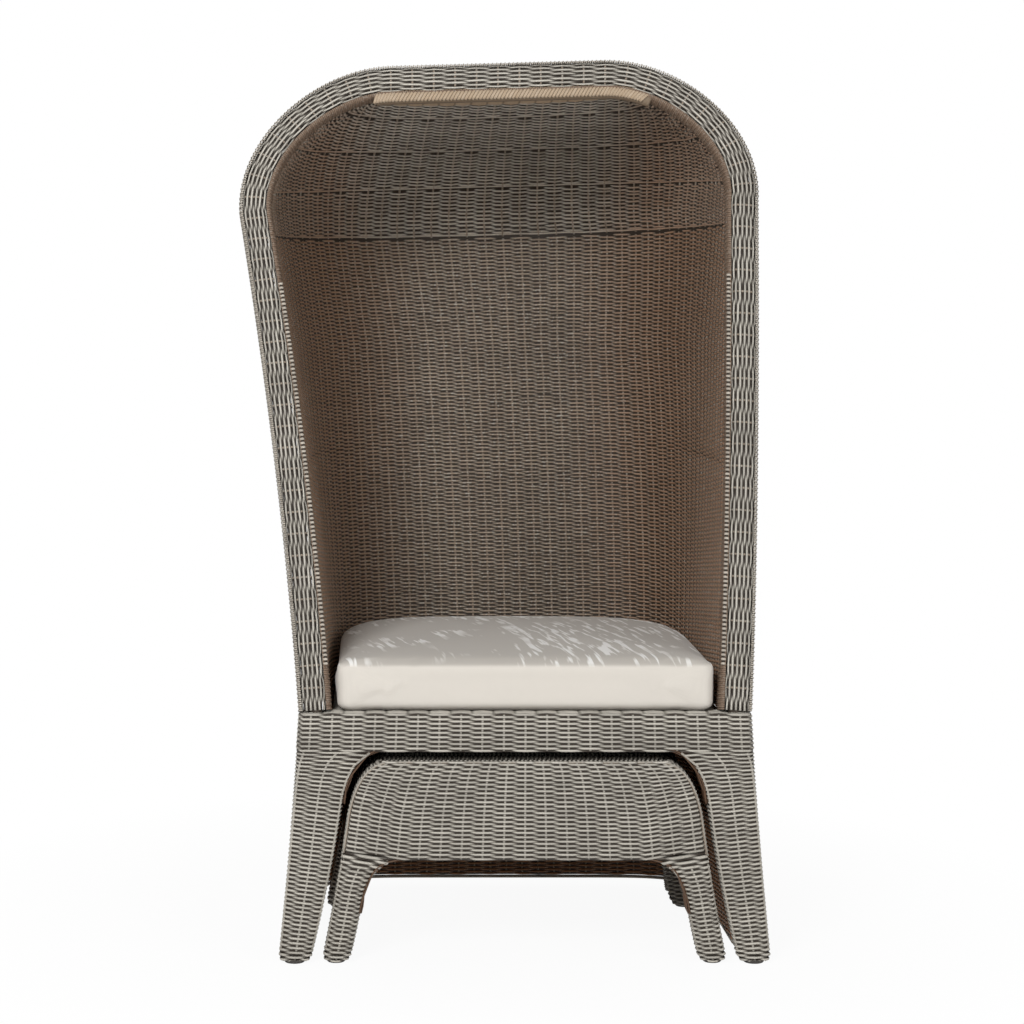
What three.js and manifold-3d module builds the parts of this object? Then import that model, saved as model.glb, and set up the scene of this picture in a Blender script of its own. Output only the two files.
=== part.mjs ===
import * as THREE from 'three';
import { mergeVertices } from 'three/addons/utils/BufferGeometryUtils.js';
import Module from 'manifold-3d';

// A woven chair with a hood, its seat cushion, and the woven footstool that slides under it.
// Lengths are in millimetres. +Z is up, the seat faces -Y, and the front of the base lies at y = 0
// until the whole chair is centred at the end of the file.

const wasm = await Module();
wasm.setup();

// Sizes shared by many pieces
const touch = 0.3;
const cornerClearance = 2.4;
const weaveThickness = 6;
const seatLevel = 415;
const recline = THREE.MathUtils.degToRad(12.5);

// Rim: a flattened roll round the mouth of the hood, drawn in its own leaning plane
const rimWidth = 56;
const rimDepth = 42;
const rimFlare = 68.1;
const shoulderLead = 38;
const shoulderWidth = 230.9;
const shoulderRise = 224.6;
const rimSquareness = 4;
const rimSideBow = 4.3;
const shoulderHandleShare = 0.511;

// Hood wall: horizontal rows of weave that run from the rim round the back to the rim
const wallInset = 24;
const seatDepth = 610;
const creaseRise = 791;
const backLean = THREE.MathUtils.degToRad(11);
const seatSquareness = 5.5;
const creaseSquareness = 2.6;
const roofSquareness = 2.3;
const backShare = 0.36;
const roofEdgeReach = 60;
const roofEdgeDrop = 6;
const roofSlope = THREE.MathUtils.degToRad(11);
const creaseHandle = 92;
const roofHandle = 250;
const roofCornerShare = 0.92;
const roofTipShare = 0.92;
const roofSeam = 1;
const hoodSway = 35.5;
const swayPower = 1.69;
const hoodTiltShare = 0.0273;

// Bent ribs behind the hood wall
const ribDiameter = 8;
const crownLevelShares = [0, 0.055, 0.11, 0.16, 0.23, 0.3, 0.375, 0.45, 0.53, 0.62, 0.71, 0.8, 0.9, 1];
const crownRibLevels = [3, 7, 11];

// Frame tubes
const hoopDiameter = 22;
const railDiameter = 20;
const bearerDiameter = 16;
const bearerShares = [0.295, 0.557];

// Base: front panel with two legs, and a skirt round the sides and the back
const baseDepth = 44;
const baseHalfWidth = 371.4;
const footFlare = 33.6;
const footWidth = 55;
const apronHeight = 64;
const legShoulderWidth = 74;
const archCornerWidth = 71;
const archCornerHeight = 89;
const legKneeShare = 0.61;
const cornerHandleShare = 0.56;
const edgeRounding = 7;
const skirtHemHeight = 30;
const skirtLean = THREE.MathUtils.degToRad(7.4);
const skirtSquareness = 8;
const hemDiameter = 6;
const backLegDiameter = 26;
const glideHeight = 5;
const frontGlideDiameter = 34;
const backGlideDiameter = 24;

// Seat and cushion
const deckThickness = 8;
const cushionSideGap = 3;
const cushionFront = 8;
const cushionBackGap = 12;
const cushionThickness = 79;
const cushionCrown = 16;
const cushionFrontCorner = 26;
const cushionSquareness = 3.5;
const cushionPinch = 5;
const cushionWelt = 9;
const cushionSag = 3;
const cushionSoleShare = 0.5;
const cushionCrownShares = [0.95, 0.84, 0.68, 0.48, 0.25];
const cushionCrownPower = 0.8;

// Footstool
const stoolFront = 2;
const stoolBackGap = 190;
const stoolTopGap = 15;
const stoolSideGap = 5;
const stoolFootGap = 17;
const stoolFootWidth = 47;
const stoolCornerWidth = 72;
const stoolCornerHeight = 98;
const stoolLegShoulderWidth = 28;
const stoolApronHeight = 164;
const stoolArchCornerWidth = 70;
const stoolArchCornerHeight = 64;
const stoolLegDepth = 46;
const stoolSideArchRadius = 62;
const stoolFrameDiameter = 16;
const stoolFrameInset = 24;
const stoolRailInset = 30;
const stoolSlatDiameter = 10;
const stoolSlatShares = [0.35, 0.65];
const stoolGlideDiameter = 30;
const stoolEdgeRounding = 6;

// Sizes that follow from those above
const rimFootHalfWidth = baseHalfWidth - rimWidth / 2;
const rimShoulderHalfWidth = rimFootHalfWidth + rimFlare;
const rimShoulderHeight = creaseRise / Math.cos(recline) + shoulderLead;
const rimTopHalfWidth = rimShoulderHalfWidth - shoulderWidth;
const rimTopHeight = rimShoulderHeight + shoulderRise;
const footOuterHalfWidth = baseHalfWidth + footFlare;
const footInnerHalfWidth = footOuterHalfWidth - footWidth;
const archHeight = seatLevel - apronHeight;
const archShoulderHalfWidth = baseHalfWidth - legShoulderWidth;
const archShoulderHeight = archHeight - archCornerHeight;
const archHalfWidth = archShoulderHalfWidth - archCornerWidth;
const skirtWaistHalfWidth = rimFootHalfWidth - wallInset;
const skirtHemHalfWidth = footInnerHalfWidth - weaveThickness / 2;
const cushionHalfWidth = rimFootHalfWidth - rimWidth / 2 - cushionSideGap;
const cushionDepth = seatDepth - cushionFront - cushionBackGap;
const stoolDepth = seatDepth - stoolFront - stoolBackGap;
const stoolHeight = archHeight - stoolTopGap;
const stoolFootOuterHalfWidth = footInnerHalfWidth - stoolFootGap;
const stoolFootInnerHalfWidth = stoolFootOuterHalfWidth - stoolFootWidth;
const stoolShoulderHalfWidth = archShoulderHalfWidth - stoolSideGap;
const stoolShoulderHeight = stoolHeight - stoolCornerHeight;
const stoolTopHalfWidth = stoolShoulderHalfWidth - stoolCornerWidth;
const stoolArchHeight = stoolHeight - stoolApronHeight;
const stoolArchShoulderHalfWidth = stoolShoulderHalfWidth - stoolLegShoulderWidth;
const stoolArchShoulderHeight = stoolArchHeight - stoolArchCornerHeight;
const stoolArchHalfWidth = stoolArchShoulderHalfWidth - stoolArchCornerWidth;
const stoolRailHalfSpan = stoolTopHalfWidth - stoolRailInset;

// Fineness of the curved surfaces, in counts
const rimSteps = 24;
const rimSides = 14;
const tubeSides = 8;
const ribSides = 6;
const rowSamples = 160;
const shapeSegments = 7;
const cushionBackSteps = 28;
const cushionSideSteps = 4;
const cushionCornerSteps = 4;
const cushionFrontSteps = 8;

const frameMaterial = () => new THREE.MeshStandardMaterial({ color: 0x6f675c, roughness: 0.5, metalness: 0.6 });
const weaveMaterial = () => new THREE.MeshStandardMaterial({ color: 0x8f897d, roughness: 0.8, metalness: 0 });
const cushionMaterial = () => new THREE.MeshStandardMaterial({ color: 0xdcd6ca, roughness: 0.9, metalness: 0 });
const glideMaterial = () => new THREE.MeshStandardMaterial({ color: 0x2b2724, roughness: 0.6, metalness: 0 });

const chair = new THREE.Group();

function addNode(group, name, geometry, material) {
  const mesh = new THREE.Mesh(geometry, material);
  mesh.name = name;
  group.add(mesh);
  return mesh;
}

// Triangle meshes

function fromTriangles(positions, indices) {
  const geometry = new THREE.BufferGeometry();
  geometry.setAttribute('position', new THREE.Float32BufferAttribute(positions, 3));
  geometry.setIndex(indices);
  return geometry;
}

function pushPoints(positions, points) {
  const first = positions.length / 3;
  for (const point of points) positions.push(point.x, point.y, point.z);
  return first;
}

// Sides between rings of equal count, each ring turning the same way round the path's direction.
function joinRings(indices, starts, count) {
  for (let j = 0; j + 1 < starts.length; j++) {
    for (let i = 0; i < count; i++) {
      const next = (i + 1) % count;
      const a = starts[j] + i;
      const b = starts[j] + next;
      const c = starts[j + 1] + next;
      const d = starts[j + 1] + i;
      indices.push(a, b, c, a, c, d);
    }
  }
}

function averagePoint(ring) {
  const middle = new THREE.Vector3();
  for (const point of ring) middle.add(point);
  return middle.divideScalar(ring.length);
}

function closeRing(positions, indices, start, ring, facesForward) {
  const hub = pushPoints(positions, [averagePoint(ring)]);
  for (let i = 0; i < ring.length; i++) {
    const a = start + i;
    const b = start + (i + 1) % ring.length;
    if (facesForward) indices.push(hub, a, b);
    else indices.push(hub, b, a);
  }
}

// A closed solid through a list of rings.
function loft(rings) {
  const positions = [];
  const indices = [];
  const starts = rings.map((ring) => pushPoints(positions, ring));
  joinRings(indices, starts, rings[0].length);
  closeRing(positions, indices, starts[0], rings[0], false);
  closeRing(positions, indices, starts[rings.length - 1], rings[rings.length - 1], true);
  return fromTriangles(positions, indices);
}

// The same with a bore: both ends are flat rings between the outside and the bore.
function boredLoft(outerRings, boreRings) {
  const positions = [];
  const indices = [];
  const count = outerRings[0].length;
  const outer = outerRings.map((ring) => pushPoints(positions, ring));
  const bore = boreRings.map((ring) => pushPoints(positions, ring));
  joinRings(indices, outer, count);
  const inside = [];
  joinRings(inside, bore, count);
  for (let k = 0; k < inside.length; k += 3) indices.push(inside[k], inside[k + 2], inside[k + 1]);
  const last = outer.length - 1;
  for (let i = 0; i < count; i++) {
    const next = (i + 1) % count;
    indices.push(outer[0] + i, bore[0] + i, bore[0] + next, outer[0] + i, bore[0] + next, outer[0] + next);
    indices.push(outer[last] + i, outer[last] + next, bore[last] + next);
    indices.push(outer[last] + i, bore[last] + next, bore[last] + i);
  }
  return fromTriangles(positions, indices);
}

// Rings of a section carried along a path. The section's first axis follows the hint, its second
// axis is square to that and to the path. Where endLevel is given both end rings are cut level.
function sweepRings(path, section, hint, endLevel = null) {
  const last = path.length - 1;
  return path.map((point, i) => {
    const along = path[Math.min(i + 1, last)].clone().sub(path[Math.max(i - 1, 0)]).normalize();
    const first = hint.clone().addScaledVector(along, -hint.dot(along)).normalize();
    const second = along.clone().cross(first);
    const ring = section.map(([a, b]) => point.clone().addScaledVector(first, a).addScaledVector(second, b));
    if (endLevel !== null && (i === 0 || i === last)) {
      for (const p of ring) p.addScaledVector(along, (endLevel - p.z) / along.z);
    }
    return ring;
  });
}

function circleSection(radius, sides) {
  return Array.from({ length: sides }, (_, i) => {
    const angle = (2 * Math.PI * i) / sides;
    return [radius * Math.cos(angle), radius * Math.sin(angle)];
  });
}

function tube(path, diameter, hint, sides = tubeSides, endLevel = null) {
  return loft(sweepRings(path, circleSection(diameter / 2, sides), hint, endLevel));
}

const signedPower = (value, power) => Math.sign(value) * Math.abs(value) ** power;

function superellipseSection(halfFirst, halfSecond, squareness, sides) {
  return Array.from({ length: sides }, (_, i) => {
    const angle = (2 * Math.PI * i) / sides;
    return [
      halfFirst * signedPower(Math.cos(angle), 2 / squareness),
      halfSecond * signedPower(Math.sin(angle), 2 / squareness),
    ];
  });
}

// A point at a share of a polyline's length.
function byLength(points) {
  const lengths = [0];
  for (let i = 1; i < points.length; i++) lengths.push(lengths[i - 1] + points[i].distanceTo(points[i - 1]));
  const total = lengths[lengths.length - 1];
  const at = (share) => {
    const wanted = THREE.MathUtils.clamp(share, 0, 1) * total;
    let i = 1;
    while (i < points.length - 1 && lengths[i] < wanted) i++;
    const step = lengths[i] - lengths[i - 1];
    return points[i - 1].clone().lerp(points[i], (wanted - lengths[i - 1]) / step);
  };
  return { at, total };
}

// Booleans

function toManifold(geometry) {
  const bare = geometry.clone();
  bare.deleteAttribute('normal');
  bare.deleteAttribute('uv');
  const merged = mergeVertices(bare);
  return new wasm.Manifold(new wasm.Mesh({
    numProp: 3,
    vertProperties: Float32Array.from(merged.attributes.position.array),
    triVerts: Uint32Array.from(merged.index.array),
  }));
}

function fromManifold(solid) {
  const mesh = solid.getMesh();
  return fromTriangles(Array.from(mesh.vertProperties), Array.from(mesh.triVerts));
}

function cut(geometry, cutters) {
  let solid = toManifold(geometry);
  for (const cutter of cutters) solid = solid.subtract(toManifold(cutter));
  return fromManifold(solid);
}

// The rim's centre line

function rimHalfOutline() {
  const foot = new THREE.Vector2(rimFootHalfWidth, 0);
  const shoulder = new THREE.Vector2(rimShoulderHalfWidth, rimShoulderHeight);
  const top = new THREE.Vector2(rimTopHalfWidth, rimTopHeight);
  const bow = foot.clone().lerp(shoulder, 0.5);
  bow.x -= rimSideBow;
  const rise = shoulder.clone().sub(bow).normalize();
  const riseHandle = shoulder.clone().addScaledVector(rise, shoulderHandleShare * (top.y - shoulder.y));
  const topHandle = new THREE.Vector2(top.x + shoulderHandleShare * (shoulder.x - top.x), top.y);
  return {
    side: new THREE.QuadraticBezierCurve(foot, bow, shoulder),
    shoulder: new THREE.CubicBezierCurve(shoulder, riseHandle, topHandle, top),
    top: new THREE.LineCurve(top, new THREE.Vector2(0, rimTopHeight)),
  };
}

// A point beside the rim's centre line: inset towards the mouth and set back behind the rim's plane.
function besideRim(point, tangent, inset, setback) {
  const x = point.x - tangent.y * inset;
  const h = point.y + tangent.x * inset;
  return new THREE.Vector3(
    x,
    baseDepth / 2 + h * Math.sin(recline) + setback * Math.cos(recline),
    seatLevel + h * Math.cos(recline) - setback * Math.sin(recline),
  );
}

const mirrored = (point) => new THREE.Vector3(-point.x, point.y, point.z);

// The right half from the foot to the top, as stations with a point and a tangent.
function rimStations() {
  const { side, shoulder, top } = rimHalfOutline();
  const stations = [];
  const sideSteps = Math.round(rimSteps / 4);
  const shoulderSteps = Math.round(rimSteps / 2);
  for (let i = 0; i < sideSteps; i++) {
    const t = i / sideSteps;
    stations.push({ point: side.getPoint(t), tangent: side.getTangent(t) });
  }
  for (let i = 0; i < shoulderSteps; i++) {
    const t = i / shoulderSteps;
    stations.push({ point: shoulder.getPointAt(t), tangent: shoulder.getTangentAt(t) });
  }
  stations.push({ point: top.getPoint(0), tangent: top.getTangent(0) });
  stations.push({ point: top.getPoint(1), tangent: top.getTangent(1) });
  return stations;
}

// The whole line, from the left foot over the top to the right foot.
function rimLine(inset, setback) {
  const right = rimStations().map(({ point, tangent }) => besideRim(point, tangent, inset, setback));
  const left = right.map(mirrored);
  return [...left.slice(0, -1), ...right.reverse()];
}

const rimPlaneNormal = new THREE.Vector3(0, Math.cos(recline), -Math.sin(recline));

// The hood stands a little out of upright: from the seat to the shoulder it moves to the left as it
// rises, and its right side is lifted a little above its left.
function sway(geometry) {
  const positions = geometry.attributes.position;
  const shoulderLevel = seatLevel + rimShoulderHeight * Math.cos(recline);
  for (let i = 0; i < positions.count; i++) {
    const x = positions.getX(i);
    const z = positions.getZ(i);
    const rise = THREE.MathUtils.clamp((z - seatLevel) / (shoulderLevel - seatLevel), 0, 1);
    positions.setX(i, x - hoodSway * rise ** swayPower);
    positions.setZ(i, z + hoodTiltShare * x * rise ** 2);
  }
  return geometry;
}

// The hood wall's middle surface

// The centre of the back: a leaning line up to the crease, then a curve forward to the roof's edge.
const wallEdgeShare = (wallInset - weaveThickness / 2) / (rimWidth / 2);
const rimWallSetback = (rimDepth / 2) * (1 - wallEdgeShare ** rimSquareness) ** (1 / rimSquareness) + touch;
const creaseBack = new THREE.Vector2(seatDepth + creaseRise * Math.tan(backLean), seatLevel + creaseRise);
const { top: rimTop } = rimHalfOutline();
const roofFrontEdge = besideRim(rimTop.getPoint(1), rimTop.getTangent(1), wallInset, rimWallSetback);
const roofEdge = new THREE.Vector2(roofFrontEdge.y + roofEdgeReach, roofFrontEdge.z - roofEdgeDrop);
const crownProfile = byLength(new THREE.CubicBezierCurve(
  creaseBack,
  creaseBack.clone().add(new THREE.Vector2(Math.sin(backLean), Math.cos(backLean)).multiplyScalar(creaseHandle)),
  roofEdge.clone().add(new THREE.Vector2(Math.cos(roofSlope), -Math.sin(roofSlope)).multiplyScalar(roofHandle)),
  roofEdge,
).getPoints(rowSamples));

// The rim beside the crown: from the crease's height round the shoulder to the roof's corner.
// A point beside the rim's long side at a given rise above the seat.
function besideRimSide(rise, inset, setback) {
  const { side } = rimHalfOutline();
  const height = (rise + setback * Math.sin(recline)) / Math.cos(recline);
  const slope = side.getTangent(height / rimShoulderHeight);
  const share = (height - slope.x * inset) / rimShoulderHeight;
  return besideRim(side.getPoint(share), side.getTangent(share), inset, setback);
}

function rimBesideCrown(inset, setback) {
  const { shoulder } = rimHalfOutline();
  const points = [besideRimSide(creaseRise, inset, setback)];
  for (let i = 0; i <= rowSamples; i++) {
    const t = (roofCornerShare * i) / rowSamples;
    points.push(besideRim(shoulder.getPoint(t), shoulder.getTangent(t), inset, setback));
  }
  return byLength(points);
}

// One row as a superellipse in plan, from the left end round the back to the right end.
function bentRow(end, back, squareness) {
  const points = [];
  for (let i = 0; i <= rowSamples; i++) {
    const angle = (Math.PI * (rowSamples - i)) / rowSamples;
    const reach = Math.sin(angle) ** (2 / squareness);
    points.push(new THREE.Vector3(
      end.x * signedPower(Math.cos(angle), 2 / squareness),
      THREE.MathUtils.lerp(end.y, back.x, reach),
      THREE.MathUtils.lerp(end.z, back.y, reach),
    ));
  }
  return byLength(points);
}

const rimCrownLines = new Map();

// Rows by level: 0 at the seat, 1 at the crease, 2 at the roof's edge.
function hoodRow(level, inset = wallInset, setback = rimWallSetback) {
  if (level <= 1) {
    const rise = level * creaseRise;
    const end = besideRimSide(rise, inset, setback);
    const back = new THREE.Vector2(seatDepth + rise * Math.tan(backLean), seatLevel + rise);
    return bentRow(end, back, THREE.MathUtils.lerp(seatSquareness, creaseSquareness, level));
  }
  const key = `${inset} ${setback}`;
  if (!rimCrownLines.has(key)) rimCrownLines.set(key, rimBesideCrown(inset, setback));
  const end = rimCrownLines.get(key).at(level - 1);
  const back = crownProfile.at(level - 1);
  return bentRow(end, back, THREE.MathUtils.lerp(creaseSquareness, roofSquareness, level - 1));
}

// The skirt under the seat: rows by level, 0 at the hem and 1 at the seat.
function skirtRow(level) {
  const z = THREE.MathUtils.lerp(skirtHemHeight, seatLevel - touch, level);
  const end = new THREE.Vector3(
    THREE.MathUtils.lerp(skirtHemHalfWidth, skirtWaistHalfWidth, level),
    baseDepth + touch,
    z,
  );
  const back = new THREE.Vector2(seatDepth - (seatLevel - z) * Math.tan(skirtLean), z);
  return bentRow(end, back, THREE.MathUtils.lerp(skirtSquareness, seatSquareness, level));
}

// Panels of weave

// The outward normal of a surface given by pointAt(level, share).
function surfaceNormal(pointAt, level, share, levelSpan, shareSpan) {
  const [lowLevel, highLevel] = levelSpan;
  const [lowShare, highShare] = shareSpan;
  const levelStep = (highLevel - lowLevel) / rowSamples;
  const shareStep = (highShare - lowShare) / rowSamples;
  const up = pointAt(Math.min(level + levelStep, highLevel), share)
    .sub(pointAt(Math.max(level - levelStep, lowLevel), share));
  const across = pointAt(level, Math.min(share + shareStep, highShare))
    .sub(pointAt(level, Math.max(share - shareStep, lowShare)));
  return up.cross(across).normalize();
}

// A sheet of even thickness on a grid of levels and shares.
function sheet(pointAt, levels, shares, thickness, levelSpan = [0, 1], shareSpan = [0, 1]) {
  const positions = [];
  const indices = [];
  const width = shares.length;
  const layers = [-1, 1].map((side) => {
    const points = [];
    for (const level of levels) {
      for (const share of shares) {
        const normal = surfaceNormal(pointAt, level, share, levelSpan, shareSpan);
        points.push(pointAt(level, share).addScaledVector(normal, (side * thickness) / 2));
      }
    }
    return pushPoints(positions, points);
  });
  const [inner, outer] = layers;
  const quad = (a, b, c, d) => indices.push(a, b, c, a, c, d);
  for (let j = 0; j + 1 < levels.length; j++) {
    for (let i = 0; i + 1 < width; i++) {
      const k = j * width + i;
      quad(inner + k, inner + k + 1, inner + k + width + 1, inner + k + width);
      quad(outer + k, outer + k + width, outer + k + width + 1, outer + k + 1);
    }
    const left = j * width;
    const right = left + width - 1;
    quad(inner + left, inner + left + width, outer + left + width, outer + left);
    quad(inner + right, outer + right, outer + right + width, inner + right + width);
  }
  const top = (levels.length - 1) * width;
  for (let i = 0; i + 1 < width; i++) {
    quad(inner + i, outer + i, outer + i + 1, inner + i + 1);
    quad(inner + top + i, inner + top + i + 1, outer + top + i + 1, outer + top + i);
  }
  return fromTriangles(positions, indices);
}

const evenly = (from, to, steps) => Array.from({ length: steps + 1 }, (_, i) => from + ((to - from) * i) / steps);

const sideShare = (1 - backShare) / 2;

// Three panels side by side: left, back and right, with a seam of clearance between them.
function threePanels(rowAt, levels, levelSpan, steps) {
  const cache = new Map();
  const row = (level) => {
    if (!cache.has(level)) cache.set(level, rowAt(level));
    return cache.get(level);
  };
  const pointAt = (level, share) => row(level).at(share);
  const seam = touch / 2 / row(levels[0]).total;
  const spans = {
    left: [0, sideShare - seam],
    back: [sideShare + seam, 1 - sideShare - seam],
    right: [1 - sideShare + seam, 1],
  };
  return Object.fromEntries(Object.entries(spans).map(([side, [from, to]]) => [
    side,
    sheet(pointAt, levels, evenly(from, to, steps[side]), weaveThickness, levelSpan),
  ]));
}

// The shares of a row at which three panels have their corners.
const panelShares = (steps) => [
  ...evenly(0, sideShare, steps.left).slice(0, -1),
  ...evenly(sideShare, 1 - sideShare, steps.back),
  ...evenly(1 - sideShare, 1, steps.right).slice(1),
];

const hoodSteps = { left: 14, back: 10, right: 14 };
const skirtSteps = { left: 16, back: 12, right: 16 };

function addHoodWalls() {
  const wallSeam = touch / 2 / (creaseRise / Math.cos(recline));
  const wallStart = weaveThickness * Math.sin(recline) / creaseRise;
  const walls = threePanels((level) => hoodRow(level), evenly(wallStart, 1 - wallSeam, 6), [0, 2], hoodSteps);
  addNode(chair, 'left_wing', sway(walls.left), weaveMaterial());
  addNode(chair, 'back_wall', sway(walls.back), weaveMaterial());
  addNode(chair, 'right_wing', sway(walls.right), weaveMaterial());
  const crownSeam = touch / 2 / crownProfile.total;
  const crownLevels = crownLevelShares.map((share) => 1 + THREE.MathUtils.clamp(share, crownSeam, 1 - crownSeam));
  const crown = threePanels((level) => hoodRow(level), crownLevels, [0, 2], hoodSteps);
  addNode(chair, 'crown_left', sway(crown.left), weaveMaterial());
  addNode(chair, 'crown_back', sway(crown.back), weaveMaterial());
  addNode(chair, 'crown_right', sway(crown.right), weaveMaterial());
}

// The roof's front panel fills the crescent between the rim's top and the crown's last row.
function addRoofFront() {
  const { shoulder, top } = rimHalfOutline();
  const right = [];
  for (let i = 0; i <= rowSamples; i++) {
    const t = THREE.MathUtils.lerp(roofCornerShare, 1, i / rowSamples);
    right.push(besideRim(shoulder.getPoint(t), shoulder.getTangent(t), wallInset, rimWallSetback));
  }
  right.push(besideRim(top.getPoint(1), top.getTangent(1), wallInset, rimWallSetback));
  const front = byLength([...right.map(mirrored), ...right.slice(0, -1).reverse()]);
  const back = hoodRow(2);
  const pointAt = (level, share) => {
    const from = back.at(share);
    const reach = front.at(share).sub(from);
    const length = reach.length();
    return from.addScaledVector(reach.normalize(), THREE.MathUtils.lerp(roofSeam, length, level));
  };
  const shares = evenly((1 - roofTipShare) / 2, (1 + roofTipShare) / 2, 12);
  const geometry = sheet(pointAt, evenly(0, 1, 3), shares, weaveThickness);
  addNode(chair, 'roof_front', sway(geometry), weaveMaterial());
}

// Ribs lie against the outside of the hood wall and end at the back of the rim.
function addRibs() {
  const offset = weaveThickness / 2 + touch + ribDiameter / 2;
  const levels = [1, ...crownRibLevels.map((index) => 1 + crownLevelShares[index])];
  const shares = panelShares(hoodSteps);
  const last = shares.length - 1;
  levels.forEach((level, k) => {
    const row = hoodRow(level);
    const pointAt = (l, share) => hoodRow(l).at(share);
    const path = shares.map((share) => row.at(share)
      .addScaledVector(surfaceNormal(pointAt, level, share, [0, 2], [0, 1]), offset));
    const start = path[1].clone().sub(path[0]).normalize();
    const end = path[last - 1].clone().sub(path[last]).normalize();
    path[0].addScaledVector(start, ribDiameter / 2);
    path[last].addScaledVector(end, ribDiameter / 2);
    const name = k === 0 ? 'crease_rib' : `crown_rib_${k}`;
    addNode(chair, name, sway(tube(path, ribDiameter, new THREE.Vector3(0, 0, 1), ribSides)), frameMaterial());
  });
}

// The front hoop: one bent tube that is both front legs and the hood's front bow.

function hoopLine() {
  const footCentre = (footOuterHalfWidth + footInnerHalfWidth) / 2;
  const foot = new THREE.Vector3(footCentre, baseDepth / 2, glideHeight + touch);
  const waist = new THREE.Vector3(rimFootHalfWidth, baseDepth / 2, seatLevel);
  const knee = new THREE.Vector3(rimFootHalfWidth, baseDepth / 2, seatLevel / 2);
  const leg = new THREE.QuadraticBezierCurve3(foot, knee, waist).getPoints(shapeSegments).slice(0, -1);
  const rim = rimLine(0, 0);
  return [...leg.map(mirrored), ...rim, ...leg.reverse()];
}

function addHoopAndRim() {
  const forward = new THREE.Vector3(0, 1, 0);
  const hoop = tube(hoopLine(), hoopDiameter, forward, 10, glideHeight + touch);
  addNode(chair, 'front_hoop', sway(hoop), frameMaterial());
  const path = rimLine(0, 0);
  const outer = superellipseSection(rimDepth / 2, rimWidth / 2, rimSquareness, rimSides);
  const bore = circleSection(hoopDiameter / 2 + touch, rimSides);
  const geometry = boredLoft(
    sweepRings(path, outer, rimPlaneNormal, seatLevel + touch),
    sweepRings(path, bore, rimPlaneNormal, seatLevel + touch),
  );
  addNode(chair, 'hood_rim', sway(geometry), weaveMaterial());
}

// Panels with two legs and an arch between them

// The outside from the left foot over the top to the right foot, as points in the front view.
function legPanelOutside({ footOuter, bottom, shoulderHalf, shoulderHeight, topHalf, height }) {
  const foot = new THREE.Vector2(footOuter, bottom);
  const shoulder = new THREE.Vector2(shoulderHalf, shoulderHeight);
  const kneeX = THREE.MathUtils.lerp(footOuter, shoulderHalf, legKneeShare);
  const knee = new THREE.Vector2(kneeX, (bottom + shoulderHeight) / 2);
  const side = new THREE.QuadraticBezierCurve(foot, knee, shoulder).getPoints(shapeSegments);
  const slope = shoulder.clone().sub(knee).normalize();
  const top = new THREE.Vector2(topHalf, height);
  const corner = new THREE.CubicBezierCurve(
    shoulder,
    shoulder.clone().addScaledVector(slope, cornerHandleShare * (height - shoulderHeight)),
    new THREE.Vector2(topHalf + cornerHandleShare * (shoulderHalf - topHalf), height),
    top,
  ).getPoints(shapeSegments).slice(1);
  const right = height > shoulderHeight ? [...side, ...corner] : side;
  return [...right.map((p) => new THREE.Vector2(-p.x, p.y)), ...right.reverse()];
}

// The arch from the right foot over to the left foot.
function legPanelArch({ footInner, bottom, archShoulderHalf, archShoulderHeight, archHalf, archTop }) {
  const foot = new THREE.Vector2(footInner, bottom);
  const shoulder = new THREE.Vector2(archShoulderHalf, archShoulderHeight);
  const knee = foot.clone().lerp(shoulder, 0.5);
  knee.x = THREE.MathUtils.lerp(footInner, archShoulderHalf, legKneeShare);
  const side = new THREE.QuadraticBezierCurve(foot, knee, shoulder).getPoints(shapeSegments);
  const slope = shoulder.clone().sub(knee).normalize();
  const corner = new THREE.CubicBezierCurve(
    shoulder,
    shoulder.clone().addScaledVector(slope, cornerHandleShare * (archTop - archShoulderHeight)),
    new THREE.Vector2(archHalf + cornerHandleShare * (archShoulderHalf - archHalf), archTop),
    new THREE.Vector2(archHalf, archTop),
  ).getPoints(shapeSegments).slice(1);
  const right = [...side, ...corner];
  return [...right, ...[...right].reverse().map((p) => new THREE.Vector2(-p.x, p.y))];
}

// The point where the last stretch of a leg's line, carried on, meets the floor.
function onFloor(foot, next) {
  return foot.clone().addScaledVector(foot.clone().sub(next), foot.z / (next.z - foot.z));
}

// A front-view outline carried back from one depth to another, with rounded front and back edges.
function frontExtrusion(points, from, to, rounding = 0) {
  const geometry = new THREE.ExtrudeGeometry(new THREE.Shape(points), {
    depth: to - from - 2 * rounding,
    bevelEnabled: rounding > 0,
    bevelThickness: rounding,
    bevelSize: rounding,
    bevelOffset: -rounding,
    bevelSegments: 2,
  });
  geometry.rotateX(Math.PI / 2);
  geometry.translate(0, to - rounding, 0);
  return geometry;
}

function addBaseFront() {
  const sizes = {
    footOuter: footOuterHalfWidth,
    footInner: footInnerHalfWidth,
    bottom: glideHeight + touch,
    shoulderHalf: baseHalfWidth,
    shoulderHeight: seatLevel,
    topHalf: baseHalfWidth,
    height: seatLevel,
    archShoulderHalf: archShoulderHalfWidth,
    archShoulderHeight,
    archHalf: archHalfWidth,
    archTop: archHeight,
  };
  const outline = [...legPanelOutside(sizes), ...legPanelArch(sizes)];
  const body = frontExtrusion(outline, 0, baseDepth, edgeRounding);
  const forward = new THREE.Vector3(0, 1, 0);
  const line = hoopLine();
  const hoopStart = onFloor(line[0], line[1]);
  const hoopEnd = onFloor(line[line.length - 1], line[line.length - 2]);
  const hoopBore = tube([hoopStart, ...line, hoopEnd], hoopDiameter + 2 * touch, forward, 10);
  const railBore = tube(frontRailLine(rimFootHalfWidth), railDiameter + 2 * touch, forward);
  addNode(chair, 'base_front', cut(body, [hoopBore, railBore]), weaveMaterial());
}

const seatRailLevel = seatLevel - deckThickness - touch - railDiameter / 2;

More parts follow.
